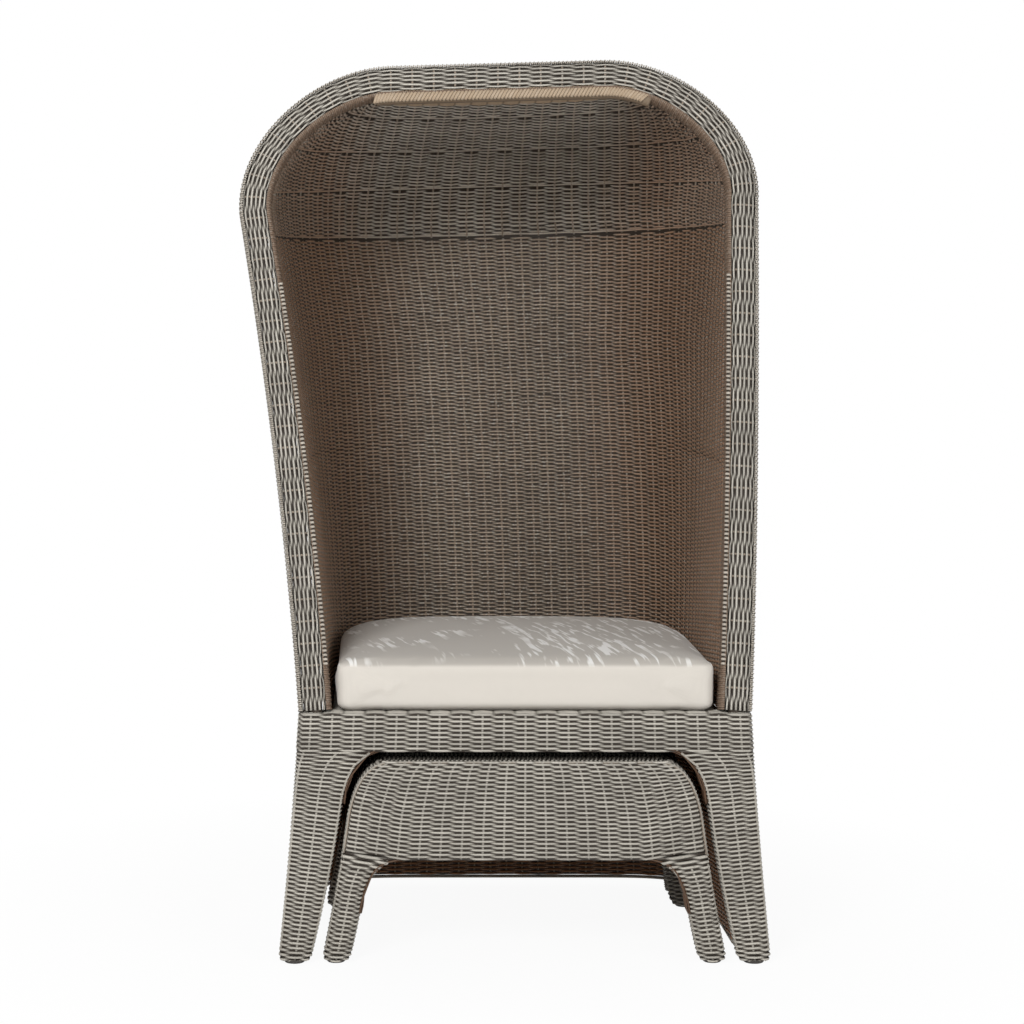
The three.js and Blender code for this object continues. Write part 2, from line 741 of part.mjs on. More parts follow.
function frontRailLine(halfSpan) {
  const level = (archHeight + seatLevel) / 2;
  return [new THREE.Vector3(-halfSpan, baseDepth / 2, level), new THREE.Vector3(halfSpan, baseDepth / 2, level)];
}

// The hoop's half-width at the front rail's level, found on its line.
function hoopHalfWidthAt(level) {
  const line = hoopLine().slice(0, shapeSegments + 1).map(mirrored);
  const above = line.findIndex((point) => point.z >= level);
  const share = (level - line[above - 1].z) / (line[above].z - line[above - 1].z);
  return THREE.MathUtils.lerp(line[above - 1].x, line[above].x, share);
}

// A line inside the skirt: a skirt row moved inwards and cut short of the base's front panel.
function insideSkirt(z, inset, setback) {
  const level = (z - skirtHemHeight) / (seatLevel - touch - skirtHemHeight);
  const row = skirtRow(level);
  const pointAt = (l, share) => skirtRow(l).at(share);
  const path = panelShares(skirtSteps).map((share) => row.at(share)
    .addScaledVector(surfaceNormal(pointAt, level, share, [0, 1], [0, 1]).setZ(0).normalize(), -inset));
  path[0].y = baseDepth + setback;
  path[path.length - 1].y = baseDepth + setback;
  return path;
}

function addSeatFrame() {
  const up = new THREE.Vector3(0, 0, 1);
  const forward = new THREE.Vector3(0, 1, 0);
  const frontLevel = frontRailLine(0)[0].z;
  const span = hoopHalfWidthAt(frontLevel) - hoopDiameter / 2 - touch;
  addNode(chair, 'seat_front_rail', tube(frontRailLine(span), railDiameter, forward), frameMaterial());
  const inset = weaveThickness / 2 + cornerClearance + railDiameter / 2;
  const ring = insideSkirt(seatRailLevel, inset, touch);
  addNode(chair, 'seat_ring_rail', tube(ring, railDiameter, up), frameMaterial());
  bearerShares.forEach((depthShare, k) => {
    const y = seatDepth * depthShare;
    const narrowest = y + bearerDiameter / 2;
    const crossing = ring.findIndex((point) => point.y >= narrowest);
    const share = (narrowest - ring[crossing - 1].y) / (ring[crossing].y - ring[crossing - 1].y);
    const railX = THREE.MathUtils.lerp(ring[crossing - 1].x, ring[crossing].x, share);
    const end = Math.abs(railX) - railDiameter / 2 - touch;
    const path = [new THREE.Vector3(-end, y, seatRailLevel), new THREE.Vector3(end, y, seatRailLevel)];
    addNode(chair, `seat_bearer_${k + 1}`, tube(path, bearerDiameter, up), frameMaterial());
  });
}

function addSeatDeck() {
  const outline = insideSkirt(seatLevel - deckThickness, weaveThickness / 2 + cornerClearance, touch);
  const ringAt = (z) => outline.map((point) => new THREE.Vector3(point.x, point.y, z));
  const geometry = loft([ringAt(seatLevel - deckThickness).reverse(), ringAt(seatLevel).reverse()]);
  addNode(chair, 'seat_deck', geometry, weaveMaterial());
}

function addSkirt() {
  const panels = threePanels(skirtRow, evenly(0, 1, 4), [0, 1], skirtSteps);
  addNode(chair, 'skirt_left', panels.left, weaveMaterial());
  addNode(chair, 'skirt_back', panels.back, weaveMaterial());
  addNode(chair, 'skirt_right', panels.right, weaveMaterial());
  const row = skirtRow(0);
  const level = skirtHemHeight - 2 * touch - hemDiameter / 2;
  const path = panelShares(skirtSteps).map((share) => row.at(share).setZ(level));
  const up = new THREE.Vector3(0, 0, 1);
  addNode(chair, 'skirt_hem', tube(path, hemDiameter, up, ribSides), weaveMaterial());
}

// A back leg stands inside the skirt's rounded corner, from its glide up to the seat's ring rail.
function addBackLegs() {
  const inset = weaveThickness / 2 + cornerClearance + backLegDiameter / 2;
  const corner = (z) => insideSkirt(z, inset, touch)
    .reduce((best, point) => (point.y - point.x > best.y - best.x ? point : best));
  const low = corner(skirtHemHeight);
  const high = corner(seatRailLevel);
  const foot = low.clone().lerp(high, (glideHeight + touch - low.z) / (high.z - low.z));
  const head = low.clone().lerp(high, (seatRailLevel - railDiameter / 2 - touch - low.z) / (high.z - low.z));
  for (const [side, place] of [['left', (p) => p.clone()], ['right', mirrored]]) {
    const path = [place(foot), place(head)];
    const rings = sweepRings(path, circleSection(backLegDiameter / 2, 10), new THREE.Vector3(0, 1, 0));
    for (const p of rings[0]) p.z = path[0].z;
    for (const p of rings[1]) p.z = path[1].z;
    addNode(chair, `back_leg_${side}`, loft(rings), weaveMaterial());
    addGlide(chair, `back_glide_${side}`, path[0], backGlideDiameter);
  }
}

// A glide is a low disc under a foot, with a small chamfer round its lower edge.
function addGlide(group, name, foot, diameter) {
  const chamfer = glideHeight / 4;
  const profile = [
    new THREE.Vector2(0, 0),
    new THREE.Vector2(diameter / 2 - chamfer, 0),
    new THREE.Vector2(diameter / 2, chamfer),
    new THREE.Vector2(diameter / 2, glideHeight),
    new THREE.Vector2(0, glideHeight),
  ];
  const geometry = new THREE.LatheGeometry(profile, 20);
  geometry.rotateX(Math.PI / 2);
  geometry.translate(foot.x, foot.y, 0);
  addNode(group, name, geometry, glideMaterial());
}

function addFrontGlides() {
  const foot = hoopLine()[0];
  addGlide(chair, 'front_glide_left', foot, frontGlideDiameter);
  addGlide(chair, 'front_glide_right', mirrored(foot), frontGlideDiameter);
}

// The cushion: a plan with a straight front and a rounded back, drawn in along its sides, crowned on top.

function cushionOutline() {
  const points = [];
  const middle = cushionFront + cushionDepth / 2;
  for (let i = 0; i <= cushionBackSteps; i++) {
    const angle = (Math.PI * i) / cushionBackSteps;
    const x = signedPower(Math.cos(angle), 2 / cushionSquareness);
    const y = Math.sin(angle) ** (2 / cushionSquareness);
    points.push(new THREE.Vector3(cushionHalfWidth * x, middle + (cushionDepth / 2) * y, 0));
  }
  const cornerX = cushionHalfWidth - cushionFrontCorner;
  const cornerY = cushionFront + cushionFrontCorner;
  const sideY = evenly(middle, cornerY, cushionSideSteps).slice(1, -1);
  for (const y of sideY) points.push(new THREE.Vector3(-cushionHalfWidth, y, 0));
  const corner = evenly(0, Math.PI / 2, cushionCornerSteps).map((angle) => [
    cornerX + cushionFrontCorner * Math.cos(angle),
    cornerY - cushionFrontCorner * Math.sin(angle),
  ]);
  for (const [x, y] of corner) points.push(new THREE.Vector3(-x, y, 0));
  for (const x of evenly(-cornerX, cornerX, cushionFrontSteps).slice(1, -1)) {
    points.push(new THREE.Vector3(x, cushionFront, 0));
  }
  for (const [x, y] of corner.reverse()) points.push(new THREE.Vector3(x, y, 0));
  for (const y of sideY.reverse()) points.push(new THREE.Vector3(cushionHalfWidth, y, 0));
  return points;
}

function addCushion() {
  const outline = cushionOutline();
  const middle = new THREE.Vector3(0, cushionFront + cushionDepth / 2, 0);
  const base = seatLevel + touch;
  const ring = (inward, z) => outline.map((point) => {
    const reach = point.clone().sub(middle);
    const length = reach.length();
    return middle.clone().addScaledVector(reach.divideScalar(length), length - inward).setZ(z);
  });
  const shrunk = (share, z) => outline.map((point) => middle.clone().lerp(point, share).setZ(z));
  const top = base + cushionThickness;
  const rings = [
    shrunk(cushionSoleShare, base),
    ring(2 * cushionWelt, base),
    ring(cushionWelt / 2, base + cushionSag),
    ring(0, base + cushionWelt),
    ring(cushionPinch, base + cushionThickness / 3),
    ring(cushionPinch, base + (2 * cushionThickness) / 3),
    ring(0, top - cushionWelt),
    ring(cushionWelt / 2, top - cushionSag),
  ];
  for (const share of cushionCrownShares) {
    rings.push(shrunk(share, top + cushionCrown * (1 - share ** 2) ** cushionCrownPower));
  }
  const geometry = loft(rings);
  const positions = geometry.attributes.position;
  positions.setZ(positions.count - 1, top + cushionCrown);
  addNode(chair, 'seat_cushion', geometry, cushionMaterial());
}

// Footstool

const stool = new THREE.Group();
stool.position.y = stoolFront;
chair.add(stool);

const stoolSizes = {
  footOuter: stoolFootOuterHalfWidth,
  footInner: stoolFootInnerHalfWidth,
  bottom: glideHeight + touch,
  shoulderHalf: stoolShoulderHalfWidth,
  shoulderHeight: stoolShoulderHeight,
  topHalf: stoolTopHalfWidth,
  height: stoolHeight,
  archShoulderHalf: stoolArchShoulderHalfWidth,
  archShoulderHeight: stoolArchShoulderHeight,
  archHalf: stoolArchHalfWidth,
  archTop: stoolArchHeight,
};

// An open front-view line moved inwards, square to itself.
function insetLine(points, inset) {
  return points.map((point, i) => {
    const before = points[Math.max(i - 1, 0)];
    const after = points[Math.min(i + 1, points.length - 1)];
    const along = after.clone().sub(before).normalize();
    return new THREE.Vector2(point.x + along.y * inset, point.y - along.x * inset);
  });
}

function stoolFrameLine(y) {
  const line = insetLine(legPanelOutside(stoolSizes), stoolFrameInset);
  const path = line.map((point) => new THREE.Vector3(point.x, y, point.y));
  path[0].z = glideHeight + touch;
  path[path.length - 1].z = glideHeight + touch;
  return path;
}

function stoolRails() {
  const level = stoolHeight - stoolFrameInset;
  const from = stoolLegDepth / 2 + stoolFrameDiameter / 2 + touch;
  return ['left', 'right'].map((side) => {
    const x = side === 'left' ? -stoolRailHalfSpan : stoolRailHalfSpan;
    const path = [new THREE.Vector3(x, from, level), new THREE.Vector3(x, stoolDepth - from, level)];
    return { side, path };
  });
}

function addStoolEnds() {
  const forward = new THREE.Vector3(0, 1, 0);
  const up = new THREE.Vector3(0, 0, 1);
  const rails = stoolRails();
  for (const { side, path } of rails) {
    addNode(stool, `footstool_rail_${side}`, tube(path, stoolFrameDiameter, up), frameMaterial());
  }
  for (const end of ['front', 'back']) {
    const from = end === 'front' ? 0 : stoolDepth - stoolLegDepth;
    const to = from + stoolLegDepth;
    const line = stoolFrameLine((from + to) / 2);
    const bow = tube(line, stoolFrameDiameter, forward, tubeSides, glideHeight + touch);
    addNode(stool, `footstool_${end}_bow`, bow, frameMaterial());
    const outline = [...legPanelOutside(stoolSizes), ...legPanelArch(stoolSizes)];
    const body = frontExtrusion(outline, from, to, stoolEdgeRounding);
    const start = onFloor(line[0], line[1]);
    const finish = onFloor(line[line.length - 1], line[line.length - 2]);
    const bores = [tube([start, ...line, finish], stoolFrameDiameter + 2 * touch, forward)];
    for (const { path } of rails) {
      const [a, b] = path;
      bores.push(tube([a.clone().setY(stoolLegDepth / 2), b.clone().setY(stoolDepth - stoolLegDepth / 2)],
        stoolFrameDiameter + 2 * touch, up));
    }
    addNode(stool, `footstool_${end}`, cut(body, bores), weaveMaterial());
    for (const [hand, foot] of [['left', line[0]], ['right', line[line.length - 1]]]) {
      addGlide(stool, `footstool_${end}_glide_${hand}`, foot, stoolGlideDiameter);
    }
  }
}

// The footstool's middle: its top and both sides as one bent sheet, with an arch in each side.
function addStoolMiddle() {
  const line = legPanelOutside(stoolSizes).filter((point) => point.y > stoolArchShoulderHeight);
  const inner = insetLine(line, weaveThickness).reverse();
  const from = stoolLegDepth + touch;
  const to = stoolDepth - stoolLegDepth - touch;
  const body = frontExtrusion([...line, ...inner], from, to);
  const arch = new THREE.Shape();
  arch.moveTo(from, 0);
  arch.lineTo(from, stoolArchHeight - stoolSideArchRadius);
  arch.quadraticCurveTo(from, stoolArchHeight, from + stoolSideArchRadius, stoolArchHeight);
  arch.lineTo(to - stoolSideArchRadius, stoolArchHeight);
  arch.quadraticCurveTo(to, stoolArchHeight, to, stoolArchHeight - stoolSideArchRadius);
  arch.lineTo(to, 0);
  const cutter = new THREE.ExtrudeGeometry(arch, {
    depth: 2 * stoolFootOuterHalfWidth,
    bevelEnabled: false,
    curveSegments: shapeSegments,
  });
  cutter.rotateX(Math.PI / 2);
  cutter.rotateZ(Math.PI / 2);
  cutter.translate(-stoolFootOuterHalfWidth, 0, 0);
  addNode(stool, 'footstool_top', cut(body, [cutter]), weaveMaterial());
  const up = new THREE.Vector3(0, 0, 1);
  const level = stoolHeight - stoolFrameInset;
  const end = stoolRailHalfSpan - stoolFrameDiameter / 2 - touch;
  stoolSlatShares.forEach((share, k) => {
    const y = stoolDepth * share;
    const path = [new THREE.Vector3(-end, y, level), new THREE.Vector3(end, y, level)];
    addNode(stool, `footstool_slat_${k + 1}`, tube(path, stoolSlatDiameter, up), frameMaterial());
  });
}

addHoopAndRim();
addHoodWalls();
addRoofFront();
addRibs();
addBaseFront();
addSeatFrame();
addSeatDeck();
addSkirt();
addBackLegs();
addFrontGlides();
addCushion();
addStoolEnds();
addStoolMiddle();

// The origin is the centre of the whole chair's footprint, on the floor.
const bounds = new THREE.Box3().setFromObject(chair, true);
const centre = bounds.getCenter(new THREE.Vector3());
chair.position.set(-centre.x, -centre.y, -bounds.min.z);

export default chair;
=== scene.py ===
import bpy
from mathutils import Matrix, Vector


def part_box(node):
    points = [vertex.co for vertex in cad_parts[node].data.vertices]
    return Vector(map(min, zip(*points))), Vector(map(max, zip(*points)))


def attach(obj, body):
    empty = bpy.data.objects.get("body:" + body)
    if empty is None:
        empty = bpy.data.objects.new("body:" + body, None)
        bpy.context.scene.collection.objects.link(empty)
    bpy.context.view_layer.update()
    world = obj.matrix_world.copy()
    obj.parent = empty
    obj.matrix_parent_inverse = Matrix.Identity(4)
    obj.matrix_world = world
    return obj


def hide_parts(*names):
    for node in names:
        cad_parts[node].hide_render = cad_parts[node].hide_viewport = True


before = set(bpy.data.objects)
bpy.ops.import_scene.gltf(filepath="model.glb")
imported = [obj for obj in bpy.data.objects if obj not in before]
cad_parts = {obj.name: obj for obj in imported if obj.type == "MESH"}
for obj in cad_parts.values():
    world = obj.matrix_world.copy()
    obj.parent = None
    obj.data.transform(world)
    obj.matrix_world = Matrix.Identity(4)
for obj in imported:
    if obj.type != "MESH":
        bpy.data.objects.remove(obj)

import copy
import math

import bmesh
import bpy
import numpy as np
from mathutils import Vector

bl_info = {
    "name": "Hooded beach chair",
    "version": (1, 0, 0),
    "blender": (4, 5, 0),
    "location": "View3D > Sidebar > Beach chair",
    "description": "Makes the woven hooded chair, its cushion and its footstool round the fixed frame",
    "category": "Add Mesh",
}

# All lengths are in metres. Shapes are worked out in the chair's own axes, x right, y back from the
# front of the base, z up, and PLACE carries them to where the frame stands.
front_low, front_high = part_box("base_front")
PLACE = np.array([(front_low.x + front_high.x) / 2, front_low.y, 0.0])
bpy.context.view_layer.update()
UP, DOWN = np.array([0, 0, 1.0]), np.array([0, 0, -1.0])

SEAT = front_high.z
RECLINE = math.radians(12.5)
SIN, COS = math.sin(RECLINE), math.cos(RECLINE)

# The rim's line, in its own leaning plane
CREASE_RISE = 0.791
BASE_HALF = 0.3714
RIM_FOOT = BASE_HALF - 0.028
RIM_SHOULDER = RIM_FOOT + 0.0681
RIM_TOP = RIM_SHOULDER - 0.2309
RIM_SHOULDER_HEIGHT = CREASE_RISE / COS + 0.038
RIM_TOP_HEIGHT = RIM_SHOULDER_HEIGHT + 0.2246
RIM_BOW = 0.0043
RIM_HANDLE = 0.511
RIM_MIDDLE = 0.022

# Round the rim's line: the solid's half width and depth, the roll of strands, loops and binding
RIM_HALF_WIDTH, RIM_HALF_DEPTH = 0.028, 0.021
ROLL_HALF_WIDTH, ROLL_CENTRE, ROLL_SQUARENESS = 0.0228, -0.0028, 3.2
LOOP_INSET, LOOP_SETBACK, LOOP_RADIUS = 0.0232, -0.0125, 0.0034
LOOP_START, LOOP_REACH, LOOP_PITCH = 0.075, 0.66, 0.0071
BINDING_INSET, BINDING_SETBACK, BINDING_RADIUS = 0.0268, -0.002, 0.0120
BINDING_PITCH = 0.0062

# Hood wall and crown. Levels count 0 at the seat, 1 at the crease and 2 at the roof's edge
WALL_INSET, WALL_REACH = 0.024, 0.021
WALL_SETBACK = RIM_HALF_DEPTH * (1 - (WALL_REACH / RIM_HALF_WIDTH) ** 4) ** 0.25 + 0.0003
SEAT_DEPTH = 0.610
BACK_LEAN = math.radians(11)
ROOF_SLOPE = math.radians(11)
SWAY, SWAY_POWER, TILT = 0.0355, 1.69, 0.0273
SHOULDER_LEVEL = SEAT + RIM_SHOULDER_HEIGHT * COS
LOWEST_ROW, HIGHEST_ROW = 0.004, 0.9985
CROWN_ROWS, CROWN_SPREAD = 84, 0.42
CROWN_RIB_LEVELS = [1.22, 1.50, 1.82]
RIB_REACH, RIB_WIDTH = 0.8, 0.56
ROOF_START, ROOF_ROWS = 0.92, 17

# Distance from stake to stake, for walls and crown at levels, and stations on a strand per stake
WALL_SPACING = ([0, 0.75, 1], [0.0294, 0.0310, 0.0345])
CROWN_SPACING = ([1, 1.8, 2], [0.0345, 0.0290, 0.0280])
ROOF_SPACING = 0.0280
RIM_SPACING = 0.0362
SKIRT_SPACING = 0.0296
PANEL_SPACING = 0.0350
PER_STAKE = 3

# Base, skirt and back legs
BASE_DEPTH = 0.044
FOOT_OUTER = BASE_HALF + 0.0336
FOOT_INNER = FOOT_OUTER - 0.055
FOOT_LEVEL, FOOT_GAP = 0.0053, 0.0026
ARCH_SHOULDER = BASE_HALF - 0.074
ARCH_TOP = 0.351
LEG_KNEE, CORNER_HANDLE = 0.61, 0.56
LEG_TILT, LEG_STAKES = 0.125, 6
PLAN_CORNER = 0.006
HEM_LEVEL, HEM_BACK_LEVEL = 0.030, 0.0185
BACK_LEG_RADIUS = 0.013

# Footstool
STOOL_SHOULDER = ARCH_SHOULDER - 0.005
STOOL_FRONT, STOOL_BACK, STOOL_PANEL = 0.002, 0.420, 0.046
STOOL_HEIGHT, STOOL_ARCH_TOP, SIDE_ARCH_RADIUS = 0.336, 0.172, 0.062
STOOL_TILT, STOOL_TOP_STAKES = 0.16, 12

# Cushion
CUSHION_HALF, CUSHION_DEPTH, CUSHION_FRONT = 0.3150, 0.590, 0.008
CUSHION_BASE, CUSHION_THICK, CUSHION_CROWN = SEAT + 0.0006, 0.0765, 0.0135
CUSHION_SHRINK, CUSHION_SHIFT = 0.0015, 0.001
CUSHION_SQUARENESS, CUSHION_POINTS = 3.5, 240
SWELL_STEPS, SWELL_MOST = 20, 0.006

# Camera: its place from PLACE, its lens in millimetres and its shift
CAMERA_PLACE = (-0.2520, -4.0, 1.0936)
CAMERA_LENS, CAMERA_SHIFT = 86.91, (0.1377, -0.0969)

# A strand's section: across the rows and out of them, at four corners that smooth shading rounds
STRAND_SECTION = np.stack([np.cos(math.pi / 2 * np.arange(4)), -np.sin(math.pi / 2 * np.arange(4))], -1)

# How a strand runs: its flattening over the stakes, and its waver, how high at a given row pitch and
# how long in stakes
WAVE_FLATTENING = 0.75
WAVER_MOST, WAVER_PITCH, WAVER_STAKES = 0.0022, 0.0035, 9.0

WHITE = (1, 1, 1, 1)


# Arrays

def unit(v):
    """Each vector divided by its length."""
    return v / np.maximum(np.linalg.norm(v, axis=-1, keepdims=True), 1e-12)


def dot(a, b):
    """Products of vectors, with the last axis kept."""
    return (a * b).sum(-1, keepdims=True)


def signed_power(v, power):
    """The power of the size, with the value's own sign."""
    return np.sign(v) * np.abs(v) ** power


def mix(a, b, t):
    """From a at t = 0 to b at t = 1."""
    return a + (b - a) * t


def centres(count):
    """The middles of so many equal shares of the way from 0 to 1."""
    return (np.arange(count) + 0.5) / count


def without_lone(present, axis):
    """The mask without places whose neighbours along an axis are both left out."""
    return present & (np.roll(present, 1, axis) | np.roll(present, -1, axis))


def bezier(t, *handles):
    """Points of a Bezier curve at t, by repeated mixing of neighbouring handles."""
    t = np.asarray(t, float)[..., None]
    points = [np.asarray(h, float) for h in handles]
    while len(points) > 1:
        points = [mix(a, b, t) for a, b in zip(points, points[1:])]
    return points[0]


def along(lines, wanted):
    """Points at wanted lengths along polylines.

    lines is (rows, points, axes) and wanted (rows, samples). The lengths of all rows are laid end
    to end with a gap between rows, so that one linear interpolation serves them all."""
    lengths = line_lengths(lines)
    gap = 2 * lengths[:, -1].max() + 1
    start = np.arange(len(lines))[:, None] * gap
    ask = (np.clip(wanted, 0, lengths[:, -1:]) + start).ravel()
    key = (lengths + start).ravel()
    axes = [np.interp(ask, key, lines[:, :, i].ravel()) for i in range(lines.shape[2])]
    return np.stack(axes, -1).reshape(wanted.shape + (lines.shape[2],))


def line_lengths(lines):
    """Running length of each polyline, from 0."""
    steps = np.linalg.norm(np.diff(lines, axis=1), axis=2)
    return np.concatenate([np.zeros((len(lines), 1)), np.cumsum(steps, axis=1)], axis=1)


def waver(rows, positions, size, wavelength, seed):
    """A gentle random waver for each row: three sines of different wavelengths with their own phases."""
    rng = np.random.default_rng(seed)
    phase = rng.uniform(0, 2 * math.pi, (3, rows, 1))
    strength = rng.normal(0, size / 2, (3, rows, 1))
    lengths = np.array([1.0, 0.61, 0.37])[:, None, None] * wavelength
    return (strength * np.sin(2 * math.pi * positions / lengths + phase)).sum(0)


# Meshes

def woven_piece(name, parts, body, replaces=()):
    """Joins parts (points, quads, point attributes) into one mesh in place, in the weave's material."""
    points, faces, attributes = joined(*parts)
    mesh = bpy.data.meshes.new(name)
    mesh.vertices.add(len(points))
    mesh.vertices.foreach_set("co", (points + PLACE).astype(np.float32).ravel())
    mesh.loops.add(faces.size)
    mesh.loops.foreach_set("vertex_index", faces.astype(np.int32).ravel())
    mesh.polygons.add(len(faces))
    mesh.polygons.foreach_set("loop_start", np.arange(0, faces.size, 4, dtype=np.int32))
    mesh.polygons.foreach_set("use_smooth", np.ones(len(faces), bool))
    for key, values in attributes.items():
        kind, field = ("FLOAT", "value") if values.ndim == 1 else ("FLOAT_VECTOR", "vector")
        layer = mesh.attributes.new(key, kind, "POINT")
        layer.data.foreach_set(field, values.astype(np.float32).ravel())
    mesh.update(calc_edges=True)
    mesh.materials.append(material("weave"))
    piece = bpy.data.objects.new(name, mesh)
    bpy.context.scene.collection.objects.link(piece)
    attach(piece, body)
    if replaces:
        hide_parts(*replaces)
    return piece


def swept(rings, present):
    """Vertices and quads of closed tubes through rings (lines, stations, sides, 3).

    present (lines, stations) says which rings exist; each unbroken run becomes one tube with a cap
    of quads at both ends. Rings turn anticlockwise about the direction of travel."""
    lines, _, sides = rings.shape[:3]
    number = np.cumsum(present.ravel()).reshape(present.shape) - 1
    points = rings[present].reshape(-1, 3)
    joined = present[:, :-1] & present[:, 1:]
    near = number[:, :-1][joined][:, None] * sides
    far = number[:, 1:][joined][:, None] * sides
    here = np.arange(sides)[None, :]
    turn = (here + 1) % sides
    walls = np.stack([near + here, near + turn, far + turn, far + here], -1).reshape(-1, 4)
    blank = np.zeros((lines, 1), bool)
    before = np.concatenate([blank, present[:, :-1]], 1)
    after = np.concatenate([present[:, 1:], blank], 1)
    first = number[present & ~before][:, None] * sides
    last = number[present & ~after][:, None] * sides
    k = np.arange(sides // 2 - 1)[None, :]
    low, high = k, sides - 1 - k
    front = np.stack([first + high, first + high - 1, first + low + 1, first + low], -1).reshape(-1, 4)
    back = np.stack([last + low, last + low + 1, last + high - 1, last + high], -1).reshape(-1, 4)
    return points, np.concatenate([walls, front, back])


def closed_swept(rings):
    """The same for lines that close on themselves."""
    lines, stations, sides = rings.shape[:3]
    number = np.arange(lines * stations).reshape(lines, stations)
    near = number[..., None] * sides
    far = np.roll(number, -1, axis=1)[..., None] * sides
    here = np.arange(sides)
    turn = (here + 1) % sides
    walls = np.stack([near + here, near + turn, far + turn, far + here], -1).reshape(-1, 4)
    return rings.reshape(-1, 3), walls

class Cloth:
    """A woven surface: its middle points (rows, stations, 3) with the directions along, across and
    out of it at each point, and the pitch from row to row."""

    def __init__(self, middle, closed=False):
        self.middle = middle
        if closed:
            forward = np.roll(middle, -1, axis=1) - np.roll(middle, 1, axis=1)
        else:
            forward = np.gradient(middle, axis=1)
        self.forward = unit(forward)
        up = np.gradient(middle, axis=0)
        up = up - dot(up, self.forward) * self.forward
        self.pitch = np.linalg.norm(up, axis=-1)
        self.up = unit(up)
        self.out = np.cross(self.up, self.forward)

    def part(self, rows):
        """Some of its rows, with the directions that they have in the whole."""
        some = copy.copy(self)
        for key, values in vars(self).items():
            setattr(some, key, values[rows])
        return some

    def facing(self, direction):
        """Turned over where needed, so that on the whole it faces along a direction or directions."""
        sign = np.sign(dot(self.out, direction).mean())
        self.up, self.out = self.up * sign, self.out * sign
        return self

    def facing_out(self):
        """Turned so that it faces away from the middle of each row."""
        return self.facing(self.middle - self.middle.mean(axis=1, keepdims=True))

    def ovals(self, flat, deep, centre=None):
        """Rings round its points, or round other centres: flat across the rows and deep out of them."""
        centre = self.middle if centre is None else centre
        across = self.up[..., None, :] * flat[..., None]
        return centre[..., None, :] + across + self.out[..., None, :] * deep[..., None]


def strand_part(rings, place, present=None, closed=False, **looks):
    """Tubes through rings with their point attributes.

    place is where a point lies along, across and deep in its strand. looks are outside (how far it is
    on the outer side), lift (how proud it stands, which the material turns into painted shade where it is
    low) and tone (its strand's own). Each has the shape of the rings without their coordinates, or one
    that numpy spreads to it."""
    present = np.ones(rings.shape[:2], bool) if present is None else present
    points, faces = closed_swept(rings) if closed else swept(rings, present)
    place = np.stack([np.broadcast_to(values, rings.shape[:3]) for values in place], -1)
    attributes = {"strand": place[present].reshape(-1, 3)}
    for key, values in looks.items():
        attributes[key] = np.broadcast_to(values, rings.shape[:3])[present].reshape(-1)
    return points, faces, attributes


def painted(part, **values):
    """A part with some of its attributes set, each to one value or to one for each point."""
    points, faces, attributes = part
    for key, value in values.items():
        attributes[key] = value + np.zeros(len(points))
    return points, faces, attributes


def washed(part, least):
    """A part that is washed at least so much on all its sides."""
    return painted(part, outside=np.maximum(part[2]["outside"], least))


def weft(cloth, stake, present, weave, closed=False, parity=0, seed=1, calm=None):
    """Strands that run along the rows and pass over and under the stakes.

    A strand's centre is the middle of the cloth moved along its normal by the sway times a cosine
    of half a turn per stake, flattened so that it hugs the stake, and each row is half a turn
    after the one below it. Its section is wider where it lies over or under a stake, and on open
    rows it wavers a little up and down. calm holds, for each row, how far out it runs straight
    along a rib, or nan where it weaves."""
    rows = len(cloth.middle)
    turn = (np.arange(rows)[:, None] + parity) % 2
    wave = signed_power(np.cos(math.pi * (stake + turn)), WAVE_FLATTENING)
    half_width = cloth.pitch * mix(weave.width_crossing, weave.width_over, np.abs(wave))
    if calm is not None:
        rib = ~np.isnan(calm)[:, None]
        wave = np.where(rib, calm[:, None] + 0.05 * wave, wave)
        half_width = np.where(rib, cloth.pitch * RIB_WIDTH, half_width)
    rise = np.zeros(stake.shape)
    if not closed:
        drift = waver(rows, np.abs(stake) + stake * 0.31, weave.waver * WAVER_MOST, WAVER_STAKES, seed)
        rise = drift * cloth.pitch / WAVER_PITCH
    centre = cloth.middle + cloth.out * (weave.sway * wave)[..., None] + cloth.up * rise[..., None]
    flat = STRAND_SECTION[:, 0] * half_width[..., None]
    deep = STRAND_SECTION[:, 1] * weave.half_thickness * np.ones(half_width.shape + (1,))
    tone = np.random.default_rng(seed + 100).uniform(0, 1, (rows, 1, 1))
    run = stake[..., None] * 0.03 + tone * 7.0
    wave = wave[..., None]
    side = np.clip((weave.sway * wave + deep) / weave.sway, -1, 1) * 0.5 + 0.5
    # lift is high where a strand's face stands out over a stake and low where it dips under one; the material
    # paints shade where it is low
    lift = wave * deep / weave.half_thickness + 0.45 * (1 - np.abs(wave))
    return strand_part(cloth.ovals(flat, deep, centre), (run, flat, deep + tone * 3.0), present, closed,
                       outside=side, lift=lift, tone=tone)


def rods(middle, radius, present=None, sides=6, outward=(0.3, 1.0, 0.2), lift=0.3):
    """Round rods along lines (lines, stations, 3), such as the stakes inside a weave.

    outward is the direction, or one for each point, in which a rod's first side faces. lift is how
    proud a rod counts as: the lower it is, the more painted shade the material gives the rod."""
    forward = unit(np.gradient(middle, axis=1))
    outward = np.asarray(outward, float) + 0 * middle
    first = unit(outward - dot(outward, forward) * forward)
    second = np.cross(forward, first)
    angle = 2 * math.pi * np.arange(sides) / sides
    right, front = np.cos(angle) * radius, np.sin(angle) * radius
    rings = (middle[..., None, :] + first[..., None, :] * right[:, None]
             + second[..., None, :] * front[:, None])
    tone = np.random.default_rng(5).uniform(0, 1, (len(middle), 1, 1))
    run = line_lengths(middle)[..., None]
    return strand_part(rings, (run, right, front), present, outside=0.5 + 0.5 * np.cos(angle),
                       lift=lift, tone=tone)


